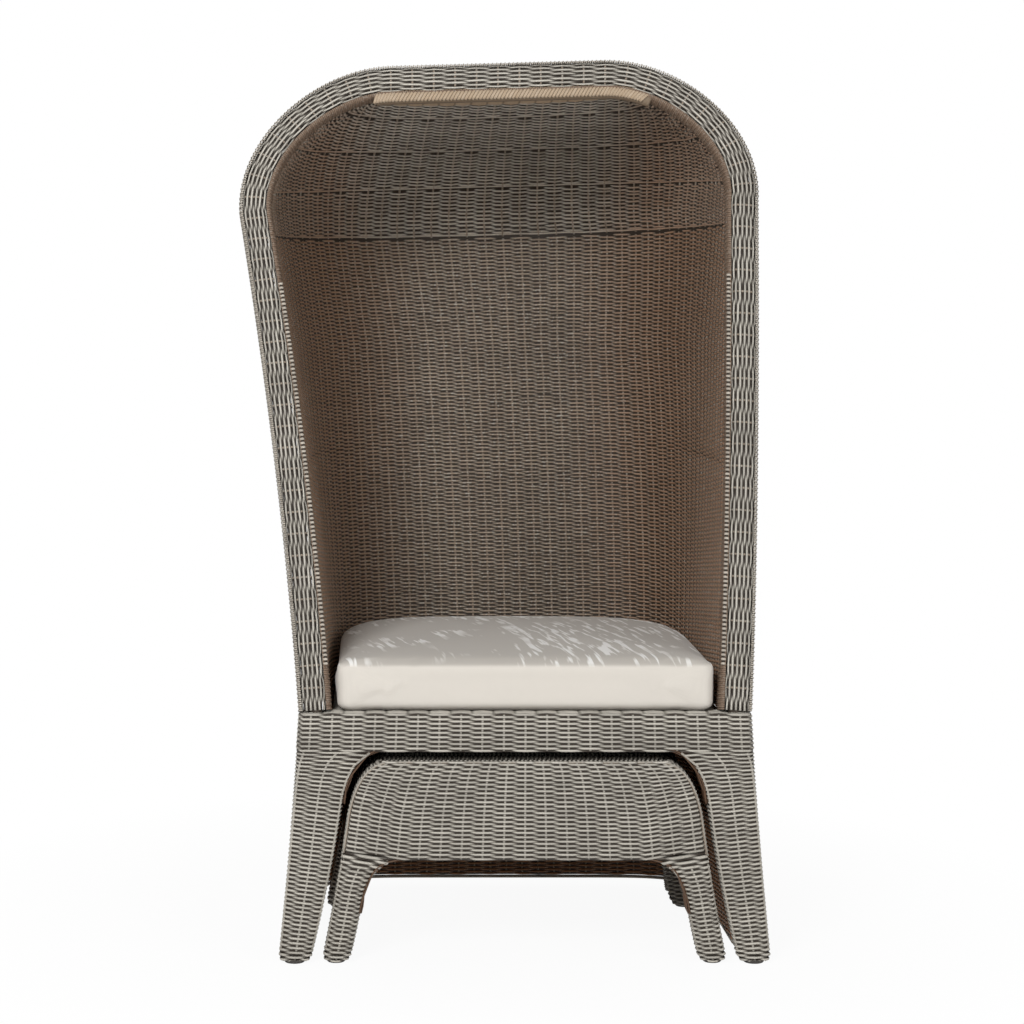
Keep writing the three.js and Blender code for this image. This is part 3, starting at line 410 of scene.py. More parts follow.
def shade_backing(rows, closed=False, present=None):
    """A thin sheet in the middle of a weave, through rows (rows, points, 3), painted all in the shadow
    colour as painted shade, where a real weave is packed so tight that no light comes through. It is
    left out where present is false."""
    number = np.arange(rows.shape[0] * rows.shape[1]).reshape(rows.shape[:2])
    if closed:
        number = np.concatenate([number, number[:, :1]], 1)
    faces = np.stack([number[:-1, :-1], number[:-1, 1:], number[1:, 1:], number[1:, :-1]], -1).reshape(-1, 4)
    if present is not None:
        faces = faces[present.reshape(-1)[faces].all(axis=1)]
    points = rows.reshape(-1, 3)
    return painted((points, faces, {"strand": points}), outside=0.5, lift=-1.0, tone=0.5)


def evened(rows, count=90):
    """The rows with points at even shares of each row's length."""
    total = line_lengths(rows)[:, -1:]
    return along(rows, total * np.linspace(0, 1, count)[None])

def joined(*parts):
    """Several (points, faces, attributes) as one; an attribute that a part lacks is 0 there."""
    start = np.cumsum([0] + [len(points) for points, _, _ in parts])
    points = np.concatenate([points for points, _, _ in parts])
    faces = np.concatenate([faces + first for (_, faces, _), first in zip(parts, start)])
    keys = sorted({key for _, _, attributes in parts for key in attributes})
    attributes = {key: np.concatenate([a.get(key, np.zeros(len(p))) for p, _, a in parts]) for key in keys}
    return points, faces, attributes


# The rim's line

def rim_side(t):
    """The rim's long side: a quadratic curve from foot to shoulder, bowed towards the mouth."""
    middle = [(RIM_FOOT + RIM_SHOULDER) / 2 - RIM_BOW, RIM_SHOULDER_HEIGHT / 2]
    return bezier(t, [RIM_FOOT, 0], middle, [RIM_SHOULDER, RIM_SHOULDER_HEIGHT])


def rim_shoulder(t):
    """The rim's rounded shoulder: a cubic curve that leaves along the side and arrives level."""
    middle = np.array([(RIM_FOOT + RIM_SHOULDER) / 2 - RIM_BOW, RIM_SHOULDER_HEIGHT / 2])
    shoulder = np.array([RIM_SHOULDER, RIM_SHOULDER_HEIGHT])
    rise = unit(shoulder - middle)
    low = shoulder + rise * RIM_HANDLE * (RIM_TOP_HEIGHT - RIM_SHOULDER_HEIGHT)
    high = [RIM_TOP + RIM_HANDLE * (RIM_SHOULDER - RIM_TOP), RIM_TOP_HEIGHT]
    return bezier(t, shoulder, low, high, [RIM_TOP, RIM_TOP_HEIGHT])


def tangent_of(curve, t, step=1e-4):
    """The direction of a curve at t, from a point a small step before to one after."""
    low, high = np.clip(np.asarray(t) - step, 0, 1), np.clip(np.asarray(t) + step, 0, 1)
    return unit(curve(high) - curve(low))


def beside(point, tangent, inset, setback):
    """A place beside the rim's line: inset towards the mouth, set back behind its plane."""
    inset, setback = np.asarray(inset, float), np.asarray(setback, float)
    x = point[..., 0] - tangent[..., 1] * inset
    h = point[..., 1] + tangent[..., 0] * inset
    return np.stack([x, RIM_MIDDLE + h * SIN + setback * COS, SEAT + h * COS - setback * SIN + 0 * x], -1)


def rim_line(samples=400):
    """The whole line, right foot over the top to left foot, evenly by length: points, tangents, lengths."""
    t = np.linspace(0, 1, samples)
    top = mix(np.array([RIM_TOP, RIM_TOP_HEIGHT]), np.array([0, RIM_TOP_HEIGHT]), t[:, None])
    right = np.concatenate([rim_side(t), rim_shoulder(t)[1:], top[1:]])
    left = right * np.array([-1, 1])
    line = np.concatenate([right, left[::-1][1:]])
    length = line_lengths(line[None])[0]
    even = np.linspace(0, length[-1], 8 * samples)
    points = along(line[None], even[None])[0]
    return points, unit(np.gradient(points, axis=0)), even


def sway(points):
    """The hood leans to the left as it rises and its right side is a little higher: x moves by the
    sway times a power of the rise, and z by the tilt times x times rise squared."""
    rise = np.clip((points[..., 2] - SEAT) / (SHOULDER_LEVEL - SEAT), 0, 1)
    x = points[..., 0] - SWAY * rise ** SWAY_POWER
    z = points[..., 2] + TILT * points[..., 0] * rise ** 2
    return np.stack([x, points[..., 1], z], -1)


# The hood wall's rows

def beside_side(rise, inset, setback):
    """A place beside the rim's long side at a rise above the seat."""
    height = (rise + setback * SIN) / COS
    slope = tangent_of(rim_side, height / RIM_SHOULDER_HEIGHT)
    share = np.clip((height - slope[..., 0] * inset) / RIM_SHOULDER_HEIGHT, 0, 1)
    return beside(rim_side(share), tangent_of(rim_side, share), inset, setback)


def crown_profile(samples=300):
    """The middle of the back above the crease, in depth and height: a cubic curve to the roof's edge."""
    lean = np.array([math.sin(BACK_LEAN), math.cos(BACK_LEAN)])
    slope = np.array([math.cos(ROOF_SLOPE), -math.sin(ROOF_SLOPE)])
    crease = np.array([SEAT_DEPTH + CREASE_RISE * math.tan(BACK_LEAN), SEAT + CREASE_RISE])
    front = beside(np.array([0, RIM_TOP_HEIGHT]), np.array([-1.0, 0]), WALL_INSET, WALL_SETBACK)
    edge = np.array([front[1] + 0.060, front[2] - 0.006])
    return bezier(np.linspace(0, 1, samples), crease, crease + lean * 0.092, edge + slope * 0.250, edge)


def share_of(line, share):
    """Points at shares of one polyline's length."""
    total = line_lengths(line[None])[0, -1]
    return along(line[None], np.asarray(share)[None] * total)[0]


def hood_ends(level):
    """Right end and middle of the back of the rows at levels."""
    low = np.minimum(level, 1) * CREASE_RISE
    end_low = beside_side(low, WALL_INSET, WALL_SETBACK)
    back_low = np.stack([SEAT_DEPTH + low * math.tan(BACK_LEAN), SEAT + low], -1)
    t = np.linspace(0, ROOF_START, 300)
    shoulder = beside(rim_shoulder(t), tangent_of(rim_shoulder, t), WALL_INSET, WALL_SETBACK)
    crease_end = beside_side(np.array([CREASE_RISE]), WALL_INSET, WALL_SETBACK)
    shoulder = np.concatenate([crease_end, shoulder])
    high = np.clip(level - 1, 0, 1)
    end_high = share_of(shoulder, high)
    back_high = share_of(crown_profile(), high)
    above = (level > 1)[:, None]
    return np.where(above, end_high, end_low), np.where(above, back_high, back_low)


def bent_rows(end, back, squareness, samples=260):
    """Rows as superellipses in plan, left end round the back to the right end.

    x is the end's x times the signed power 2/n of the cosine, and depth and height go from the
    end to the back by the power 2/n of the sine."""
    angle = np.linspace(math.pi, 0, samples)[None, :]
    power = 2 / squareness[:, None]
    reach = np.abs(np.sin(angle)) ** power
    x = end[:, :1] * signed_power(np.cos(angle), power)
    return np.stack([x, mix(end[:, 1:2], back[:, :1], reach), mix(end[:, 2:3], back[:, 1:2], reach)], -1)


def hood_rows(level):
    """The hood's rows at levels, squarer at the seat and rounder towards the roof."""
    squareness = np.where(level <= 1, mix(5.5, 2.6, level), mix(2.6, 2.3, level - 1))
    end, back = hood_ends(level)
    return bent_rows(end, back, squareness)


def skirt_rows(level):
    """Rows from the hem to the seat; the hem hangs lower towards the back."""
    z = mix(HEM_LEVEL, SEAT - 0.0003, level)
    low = mix(HEM_BACK_LEVEL, SEAT - 0.0003, level)
    end = np.stack([mix(FOOT_INNER - 0.003, RIM_FOOT - 0.024, level), BASE_DEPTH + 0.0003 + 0 * z, z], -1)
    back = np.stack([SEAT_DEPTH - (SEAT - low) * math.tan(math.radians(7.4)), low], -1)
    return bent_rows(end, back, mix(8.0, 5.5, level))


def on_rows(lines, spacing):
    """Stations on rows at even shares of the stake spacing, counted from each row's middle.

    Gives the points, the stake number at each station (whole at a stake) and which stations are
    on the row. A row's first and last station lie at its ends."""
    total = line_lengths(lines)[:, -1:]
    half = total / 2 / spacing[:, None]
    reach = math.ceil(float(half.max()) * PER_STAKE) + 1
    count = np.arange(-reach, reach + 1)[None, :] / PER_STAKE
    stake = np.clip(count, -half, half)
    present = np.abs(count) < half + 0.6 / PER_STAKE
    return along(lines, stake * spacing[:, None] + total / 2), stake, present


def stakes_on(lines, spacing, every, radius, shape=lambda points: points):
    """Rods through every so many rows at the whole stake numbers, up to 2 mm from a row's ends."""
    total = line_lengths(lines)[:, -1:]
    half = (total / 2 - 0.002) / spacing[:, None]
    reach = math.floor(float(half.max()))
    number = np.arange(-reach, reach + 1)[None, :]
    picked = np.unique(np.append(np.arange(0, len(lines), every), len(lines) - 1))
    stake = np.clip(number, -half, half)
    cloth = Cloth(shape(along(lines, stake * spacing[:, None] + total / 2))).part(picked)
    present = without_lone((np.abs(number) <= half)[picked], 0)
    return rods(cloth.middle.swapaxes(0, 1), radius, present.T, outward=cloth.out.swapaxes(0, 1))


# Materials

class Value:
    """A socket of a node tree that takes part in sums, products and powers."""

    def __init__(self, recipe, socket):
        self.recipe, self.socket = recipe, socket

    def _with(self, operation, *terms):
        """The outcome of a Math node on the terms."""
        return self.recipe.node("ShaderNodeMath", {"operation": operation}, dict(enumerate(terms))).out()

    def __add__(self, other):
        return self._with("ADD", self, other)

    __radd__ = __add__

    def __sub__(self, other):
        return self._with("SUBTRACT", self, other)

    def __rsub__(self, other):
        return self._with("SUBTRACT", other, self)

    def __mul__(self, other):
        return self._with("MULTIPLY", self, other)

    __rmul__ = __mul__

    def __truediv__(self, other):
        return self._with("DIVIDE", self, other)

    def clipped(self):
        """The value held between 0 and 1."""
        node = self.recipe.node("ShaderNodeMath", {"operation": "ADD", "use_clamp": True}, {0: self, 1: 0.0})
        return node.out()


class Made:
    """A node and the recipe it stands in."""

    def __init__(self, recipe, node):
        self.recipe, self.node = recipe, node

    def out(self, key=0):
        """One of its outputs, by number or name."""
        return Value(self.recipe, self.node.outputs[key])


class Recipe:
    """The node tree of one material or world."""

    def __init__(self, name, owner=None):
        self.owner = owner or bpy.data.materials.new(name)
        self.owner.use_nodes = True
        self.tree = self.owner.node_tree
        self.tree.nodes.clear()

    def node(self, kind, settings=None, sockets=None):
        """Adds a node: settings first, then values or links of its sockets."""
        made = self.tree.nodes.new(kind)
        for key, value in (settings or {}).items():
            setattr(made, key, value)
        for key, value in (sockets or {}).items():
            if isinstance(value, Value):
                self.tree.links.new(value.socket, made.inputs[key])
            else:
                made.inputs[key].default_value = value
        return Made(self, made)

    def attribute(self, name, key="Fac"):
        """A point attribute of the mesh."""
        return self.node("ShaderNodeAttribute", {"attribute_name": name}).out(key)

    def noise(self, vector, scale, detail=2.0, roughness=0.5):
        """Noise from 0 to 1, about 0.5."""
        return self.node("ShaderNodeTexNoise", {}, {"Vector": vector, "Scale": scale, "Detail": detail,
                                                    "Roughness": roughness}).out("Fac")

    def stretched(self, vector, scale):
        """A place with each axis multiplied by its own scale."""
        return self.node("ShaderNodeVectorMath", {"operation": "MULTIPLY"}, {0: vector, 1: scale}).out()

    def blend(self, factor, first, second):
        """A mix of two colours."""
        sockets = {0: factor, 6: first, 7: second}
        return self.node("ShaderNodeMix", {"data_type": "RGBA"}, sockets).out(2)

    def finish(self, sockets, height, strength, distance):
        """A Principled surface on these sockets, with a bump from height."""
        bump = self.node("ShaderNodeBump", {}, {"Strength": strength, "Distance": distance, "Height": height})
        shader = self.node("ShaderNodeBsdfPrincipled", {}, {**sockets, "Normal": bump.out()})
        self.node("ShaderNodeOutputMaterial", {}, {"Surface": shader.out()})
        return self.owner

    def object_place(self):
        """The place in the object's own coordinates."""
        return self.node("ShaderNodeTexCoord").out("Object")

    def seen_straight(self):
        """1 for rays that show a surface to the camera straight, in a mirror or through clear matter."""
        path = self.node("ShaderNodeLightPath")
        straight = path.out("Is Camera Ray") + path.out("Is Glossy Ray") + path.out("Is Transmission Ray")
        return straight.clipped()


def rgba(colour, factor=1.0):
    """A colour times a factor, opaque."""
    return (colour[0] * factor, colour[1] * factor, colour[2] * factor, 1.0)


def strand_material(name, outside, inside, shadow, warm, russet):
    """Washed woven strand: pale on its outer side, brown on the inner, with lengthwise grain and a tone for
    each strand. Painted shade darkens it where it lies low, under a stake, on its hidden side, in the
    grooves and on inner sides and undersides, and painted highlights fleck its inner side."""
    m = Recipe(name)
    place = m.attribute("strand", "Vector")
    grain = m.noise(m.stretched(place, (40.0, 900.0, 900.0)), 1.0, 3.0, 0.6)
    blotch = m.noise(m.stretched(place, (18.0, 60.0, 60.0)), 1.0, 2.0)
    broad = m.noise(m.object_place(), 9.0, 3.0)
    side = m.attribute("outside")
    tone = m.attribute("tone")
    lift = m.attribute("lift")
    washed = (side * 1.6 - 0.3 + (blotch - 0.5) * 0.4).clipped()
    colour = m.blend(washed, rgba(inside), rgba(outside))
    shade = 0.70 + tone * 0.28 + (grain - 0.5) * 0.7 + (broad - 0.5) * 0.45 + (blotch - 0.5) * 0.5
    colour = m.blend((1.0 - shade).clipped(), colour, rgba(shadow))
    # Painted highlights: small bright flecks of the outer colour on the strands' inner side
    painted_glints = ((m.noise(m.object_place(), 260.0, 1.0) - 0.56) * 9.0).clipped() * (1.0 - washed)
    colour = m.blend(painted_glints * 0.8, colour, rgba(outside))
    # The warm colour is the bare binding's own, and on the roof front it is partly painted light
    colour = m.blend(m.attribute("warm") * (0.8 + (grain - 0.5) * 0.8), colour, rgba(warm))
    # Painted shade: a darker reddish brown on inner sides and undersides of the weave
    colour = m.blend(m.attribute("russet"), colour, rgba(russet, 0.75))
    # Painted shade: towards the shadow colour where a strand lies low, under a stake, on its hidden side or
    # in the grooves
    deep = ((0.55 - lift) * 1.25).clipped()
    colour = m.blend(deep, colour, rgba(shadow))
    return m.finish({"Base Color": colour, "Roughness": 0.5 + grain * 0.3, "Specular IOR Level": 0.4},
                    height=grain + blotch * 0.5, strength=0.5, distance=0.0006)


def tube_material(name, colour, rough):
    """Powder-coated tube: an even colour with a fine orange-peel bump and slight dulling."""
    m = Recipe(name)
    place = m.object_place()
    peel = m.noise(place, 900.0, 2.0)
    dull = m.noise(place, 14.0, 3.0)
    tint = m.blend(dull, rgba(colour, 0.8), rgba(colour, 1.2))
    return m.finish({"Base Color": tint, "Roughness": rough + (dull - 0.5) * 0.2, "Metallic": 0.2},
                    height=peel, strength=0.15, distance=0.0004)


def cloth_material(name, colour):
    """Plain cream cloth: fine square threads, slight slubs and soft broad unevenness, and on the top
    (attribute top) painted shade, a greyer tone, with pale slanting streaks of painted light, as of light
    through the weave."""
    m = Recipe(name)
    place = m.object_place()
    bands = [m.node("ShaderNodeTexWave", {"wave_type": "BANDS", "bands_direction": axis},
                    {"Vector": place, "Scale": 300.0, "Distortion": 0.6, "Detail": 1.0}).out("Fac")
             for axis in "XYZ"]
    threads = (bands[0] + bands[1] + bands[2]) / 3.0
    slub = m.noise(place, 60.0, 3.0)
    broad = m.noise(place, 6.0, 2.0)
    uneven = (threads * 0.4 + slub * 0.3 + broad * 0.3).clipped()
    tint = m.blend(uneven, rgba(colour, 0.93), rgba(colour, 1.03))
    slant = (0, 0, math.radians(-11))
    turned = m.node("ShaderNodeMapping", {}, {"Vector": place, "Rotation": slant}).out("Vector")
    streaks = m.noise(m.stretched(turned, (110.0, 13.0, 1.0)), 1.0, 1.0)
    patches = m.noise(m.stretched(turned, (7.0, 9.0, 1.0)), 1.0, 1.0)
    # Painted light and shade on the top: pale slanting streaks of painted light, and elsewhere a greyer tone
    # of painted shade
    pale = ((streaks - 0.54) * 14.0).clipped() * ((patches - 0.44) * 8.0).clipped()
    top = m.attribute("top")
    tint = m.blend(top * (1.0 - pale), tint, rgba(colour, 0.80))
    tint = m.blend(top * pale, tint, (1.0, 0.99, 0.96, 1.0))
    rough = 0.85 + slub * 0.1
    return m.finish({"Base Color": tint, "Roughness": rough, "Sheen Weight": 0.25, "Specular IOR Level": 0.2},
                    height=threads + slub * 0.6, strength=0.25, distance=0.0005)


def floor_material(name, colour):
    """Pale floor: matt and lit, and mostly plain white where the camera looks straight at it, so
    that only a soft trace of the shadow is seen."""
    m = Recipe(name)
    far = m.node("ShaderNodeVectorMath", {"operation": "LENGTH"}, {0: m.object_place()}).out("Value")
    seen = m.seen_straight() * (0.94 + ((far - 0.5) * 0.1).clipped()).clipped()
    matt = m.node("ShaderNodeBsdfDiffuse", {}, {"Color": rgba(colour)})
    plain = m.node("ShaderNodeEmission", {}, {"Color": WHITE, "Strength": 1.0})
    both = m.node("ShaderNodeMixShader", {}, {0: seen, 1: matt.out(), 2: plain.out()})
    m.node("ShaderNodeOutputMaterial", {}, {"Surface": both.out()})
    return m.owner


def plastic_material(name, colour):
    """Dark moulded plastic with a fine pitted bump and scuffs."""
    m = Recipe(name)
    place = m.object_place()
    pits = m.noise(place, 700.0, 2.0)
    scuff = m.noise(place, 80.0, 3.0)
    tint = m.blend(scuff, rgba(colour, 0.8), rgba(colour, 1.6))
    return m.finish({"Base Color": tint, "Roughness": 0.5 + scuff * 0.3},
                    height=pits, strength=0.2, distance=0.0003)


MATERIALS = {}


def material(key):
    """One of the shared finishes, made when it is first asked for."""
    if key not in MATERIALS:
        c = bpy.context.scene.beach_chair_colours
        if key == "weave":
            MATERIALS[key] = strand_material("washed_weave", c.washed, c.inner, c.groove_shade, c.binding, c.russet)
        elif key == "frame":
            MATERIALS[key] = tube_material("coated_tube", c.tube, 0.45)
        elif key == "cushion":
            MATERIALS[key] = cloth_material("cream_cloth", c.cushion)
        elif key == "glide":
            MATERIALS[key] = plastic_material("dark_plastic", c.glide)
    return MATERIALS[key]


# Sizes and colours that a user would change

def length_setting(name, description, default, low, high):
    """A length that the panel shows."""
    return bpy.props.FloatProperty(name=name, description=description, default=default, min=low, max=high,
                                   unit="LENGTH")


def share_setting(name, description, default, low):
    """A share of 1 that the panel shows."""
    return bpy.props.FloatProperty(name=name, description=description, default=default, min=low, max=1.0,
                                   subtype="FACTOR")


def colour_setting(name, description, default):
    """A colour that the panel shows."""
    return bpy.props.FloatVectorProperty(name=name, description=description, default=default, size=3,
                                         min=0, max=1, subtype="COLOR")


class BeachChairWeave(bpy.types.PropertyGroup):
    pitch: length_setting("Row pitch", "Distance from one row of weave to the next", 0.00355, 0.002, 0.01)
    sway: length_setting("Strand sway", "How far a strand moves out over a stake", 0.0016, 0.0005, 0.005)
    half_thickness: length_setting("Half thickness", "Half the thickness of a strand", 0.0015, 0.0003, 0.003)
    width_over: share_setting("Width over a stake", "Half width of a strand there, in row pitches", 0.62, 0.2)
    width_crossing: share_setting("Width between stakes", "Half width of a strand there, in row pitches",
                                  0.50, 0.2)
    waver: share_setting("Waver", "How unevenly the strands lie", 0.2, 0.0)
    stake_diameter: length_setting("Stake diameter", "Thickness of the upright stakes", 0.0040, 0.001, 0.01)


class BeachChairColours(bpy.types.PropertyGroup):
    washed: colour_setting("Washed strand", "Colour of the outer side of the weave", (0.60, 0.565, 0.495))
    inner: colour_setting("Inner strand", "Colour of the inner side of the hood", (0.42, 0.33, 0.25))
    # This colour is painted shade: the weave's grooves, hollows and hidden sides are darkened towards it
    groove_shade: colour_setting("Groove", "Colour in the grooves of the weave", (0.030, 0.021, 0.014))
    # The binding colour is also painted on the roof front, where it stands partly for light falling there
    binding: colour_setting("Binding", "Colour of the bare strand under the rim's top", (0.42, 0.30, 0.19))
    # This colour is painted shade: the darker reddish brown of inner sides and undersides, where shade falls
    russet: colour_setting("Russet", "Colour of unwashed strands inside and beneath", (0.46, 0.215, 0.10))
    tube: colour_setting("Tube", "Colour of the frame tubes", (0.16, 0.125, 0.095))
    cushion: colour_setting("Cushion", "Colour of the cushion's cloth", (0.71, 0.665, 0.60))
    glide: colour_setting("Glide", "Colour of the floor glides", (0.03, 0.026, 0.023))
    floor: colour_setting("Floor", "Colour of the floor where light falls on it", (0.95, 0.95, 0.95))


class BeachChairStage(bpy.types.PropertyGroup):
    key_power: bpy.props.FloatProperty(name="Key lamp", description="Power of the main soft lamp",
                                       default=105.0, min=0.0, max=2000.0, unit="POWER")
    fill_strength: bpy.props.FloatProperty(name="Fill", description="Strength of the even light",
                                           default=0.28, min=0.0, max=3.0)
    camera_pitch: bpy.props.FloatProperty(name="Camera pitch", description="How far the camera looks down",
                                          default=math.radians(2.7), min=0.0, max=0.5, subtype="ANGLE")


# Pieces

def weave_sizes():
    """What the user set for the weave."""
    return bpy.context.scene.beach_chair_weave


def inner_russet_shade(strands, most, shift, start, ramp):
    """How much of the darker reddish brown of painted shade each point takes: on the inner side only, more
    and more from `start` off the middle on.
    """
    points, _, attributes = strands
    inner = np.clip(1 - 1.4 * attributes["outside"], 0, 1)
    return most * inner * np.clip((np.abs(points[:, 0] + shift) - start) / ramp, 0, 1)


def make_walls():
    """The hood wall below the crease, in a lower and an upper part, split between two rows."""
    weave = weave_sizes()
    count = round(CREASE_RISE / COS / weave.pitch)
    level = mix(LOWEST_ROW, HIGHEST_ROW, centres(count))
    spacing = np.interp(level, *WALL_SPACING)
    lines = hood_rows(level)
    points, stake, present = on_rows(lines, spacing)
    cloth = Cloth(sway(points))
    split = count // 2
    made = []
    for name, rows in (("hood_wall_lower", slice(0, split)), ("hood_wall_upper", slice(split, count))):
        strands = weft(cloth.part(rows), stake[rows], present[rows], weave,
                       parity=rows.start % 2, seed=11 + rows.start)
        # Painted shade: the wall's inner side is darker reddish brown, more so towards its sides
        russet = inner_russet_shade(strands, most=0.7, shift=SWAY / 2, start=0.13, ramp=0.20)
        strands = painted(strands, russet=russet)
        stakes = stakes_on(lines[rows], spacing[rows], 8, weave.stake_diameter / 2, sway)
        levels = np.linspace(rows.start / count, rows.stop / count, 20)
        sheet = shade_backing(sway(evened(hood_rows(levels))))
        made.append(woven_piece(name, [strands, stakes, sheet], "chair",
                                ("left_wing", "back_wall", "right_wing")))
    return made


def make_crown():
    """The crown from the crease to the roof's edge, with a rib at the crease and at three levels."""
    weave = weave_sizes()
    share = centres(CROWN_ROWS)
    level = 1 + (1 - CROWN_SPREAD) * share + CROWN_SPREAD * share ** 2
    spacing = np.interp(level, *CROWN_SPACING)
    lines = hood_rows(level)
    points, stake, present = on_rows(lines, spacing)
    calm = np.full(CROWN_ROWS, np.nan)
    rib_rows = np.append(0, np.searchsorted(level, CROWN_RIB_LEVELS))
    calm[rib_rows] = RIB_REACH
    calm[rib_rows + 1] = -RIB_REACH
    strands = weft(Cloth(sway(points)), stake, present, weave, seed=31, calm=calm)
    # Painted light and shade: the crown's strands are made paler on their inner side (outside raised by 0.42)
    # against the shade inside the hood, and darker reddish brown towards its sides
    strands = painted(strands, russet=inner_russet_shade(strands, most=0.6, shift=SWAY, start=0.20, ramp=0.10),
                      outside=np.clip(strands[2]["outside"] + 0.42, 0, 1))
    stakes = stakes_on(lines, spacing, 8, weave.stake_diameter / 2, sway)
    sheet = shade_backing(sway(evened(hood_rows(np.linspace(1, 2, 60)))))
    return woven_piece("hood_crown", [strands, stakes, sheet], "chair",
                       ("crown_left", "crown_back", "crown_right"))


def make_roof_front():
    """The crescent between the crown's last row and the rim: rows between two lines, by even shares."""
    weave = weave_sizes()
    back = hood_rows(np.array([2.0]))[0]
    t = np.linspace(ROOF_START, 1, 60)
    right = beside(rim_shoulder(t), tangent_of(rim_shoulder, t), WALL_INSET, WALL_SETBACK)
    top = beside(np.array([[0, RIM_TOP_HEIGHT]]), np.array([[-1.0, 0]]), WALL_INSET, WALL_SETBACK)
    right = np.concatenate([right, top])
    front = np.concatenate([right * [-1, 1, 1], right[::-1][1:]])
    share = np.linspace(0.03, 0.97, 200)
    back, front = share_of(back, share)[None], share_of(front, share)[None]
    lines = mix(back, front, centres(ROOF_ROWS)[:, None, None])
    spacing = np.full(ROOF_ROWS, ROOF_SPACING)
    points, stake, present = on_rows(lines, spacing)
    # The roof front takes the binding's warm colour, partly as its own colour and partly as painted light
    # falling on it
    strands = painted(weft(Cloth(sway(points)), stake, present, weave, seed=41), warm=1.0)
    stakes = stakes_on(lines, spacing, 4, weave.stake_diameter / 2, sway)
    sheet = shade_backing(sway(mix(back, front, np.linspace(0, 1, 5)[:, None, None]))[:, ::4])
    return woven_piece("roof_front_weave", [strands, stakes, sheet], "chair", ("roof_front",))


def beside_rim(where, inset, setback):
    """Places beside the rim at lengths of its line, with the hood's lean."""
    points, tangents, length = rim_line()
    line = np.stack([np.interp(where, length, points[:, i]) for i in range(2)], -1)
    slope = np.stack([np.interp(where, length, tangents[:, i]) for i in range(2)], -1)
    return sway(beside(line, slope, inset, setback))


def make_rim():
    """The roll round the mouth: strands run its whole length, side by side round a rounded section.

    The section is a superellipse that reaches from 26 mm outside the rim's line to 20 mm inside it."""
    weave = weave_sizes()
    total = rim_line()[2][-1]
    half_width = ROLL_HALF_WIDTH - weave.sway - weave.half_thickness
    half_depth = RIM_HALF_DEPTH - weave.sway - weave.half_thickness
    angle = np.linspace(0, 2 * math.pi, 2000)
    section = np.stack([ROLL_CENTRE + half_width * signed_power(np.cos(angle), 2 / ROLL_SQUARENESS),
                        half_depth * signed_power(np.sin(angle), 2 / ROLL_SQUARENESS)], -1)
    count = 2 * round(line_lengths(section[None])[0, -1] / weave.pitch / 2)
    ring = share_of(section, np.arange(count) / count)
    half = round(total / 2 / RIM_SPACING)
    spacing = total / 2 / half
    stake = np.arange(-half * PER_STAKE, half * PER_STAKE + 1)[None, :] / PER_STAKE
    where = np.clip(stake * spacing + total / 2, 0, total)
    grid = beside_rim(where, ring[:, :1], ring[:, 1:])
    cloth = Cloth(np.concatenate([grid[-1:], grid, grid[:1]])).part(slice(1, -1))
    cloth.facing(cloth.middle - beside_rim(where, ROLL_CENTRE, 0.0))
    stake = stake + np.zeros((count, 1))
    strands = washed(weft(cloth, stake, np.ones(stake.shape, bool), weave, seed=51), 0.8)
    at = np.clip(np.arange(-half + 1, half)[:, None] * spacing + total / 2, 0, total)
    loops = beside_rim(at, ring[None, ::2, 0], ring[None, ::2, 1])
    hoops = rods(np.concatenate([loops, loops[:, :1]], 1), weave.stake_diameter / 2, sides=4)
    return woven_piece("rim_weave", [strands, hoops], "chair", ("hood_rim",))


def wraps(where, route, breadth, thick, seed, outside=0.9, slant=0.0, proud=0.0):
    """Short strands wrapped round the rim at lengths `where` of its line, each along a route of
    (inset, setback) places across it; slant shifts a strand's end along the line, and every other
    strand stands proud by a distance."""
    steps = np.linspace(0, 1, len(route))[None, :]
    at = np.clip(where[:, None] + slant * (steps - 0.5), 0, rim_line()[2][-1])
    cloth = Cloth(beside_rim(at, route[None, :, 0], route[None, :, 1])).facing_out()
    grid = cloth.middle + cloth.out * (proud * (np.arange(len(where)) % 2))[:, None, None]
    tone = np.random.default_rng(seed).uniform(0, 1, (len(grid), 1, 1))
    angle = 2 * math.pi * np.arange(6) / 6
    flat = np.cos(angle) * breadth + 0 * grid[..., :1]
    deep = -np.sin(angle) * thick + 0 * flat
    run = line_lengths(grid)[..., None] + tone * 5
    # Painted shade: a wrap's lift falls towards the side that faces the rim, which the material darkens
    return strand_part(cloth.ovals(flat, deep, grid), (run, flat, deep), outside=outside,
                       lift=np.clip(0.15 + deep / thick * 0.8, -1, 1), tone=tone)


def rim_core(start, stop, inset, setback, radius, lift):
    """A round core beside the rim's line between two lengths of it."""
    core = beside_rim(np.linspace(start, stop, 90), inset, setback)[None]
    return rods(core, radius, sides=8, lift=lift)


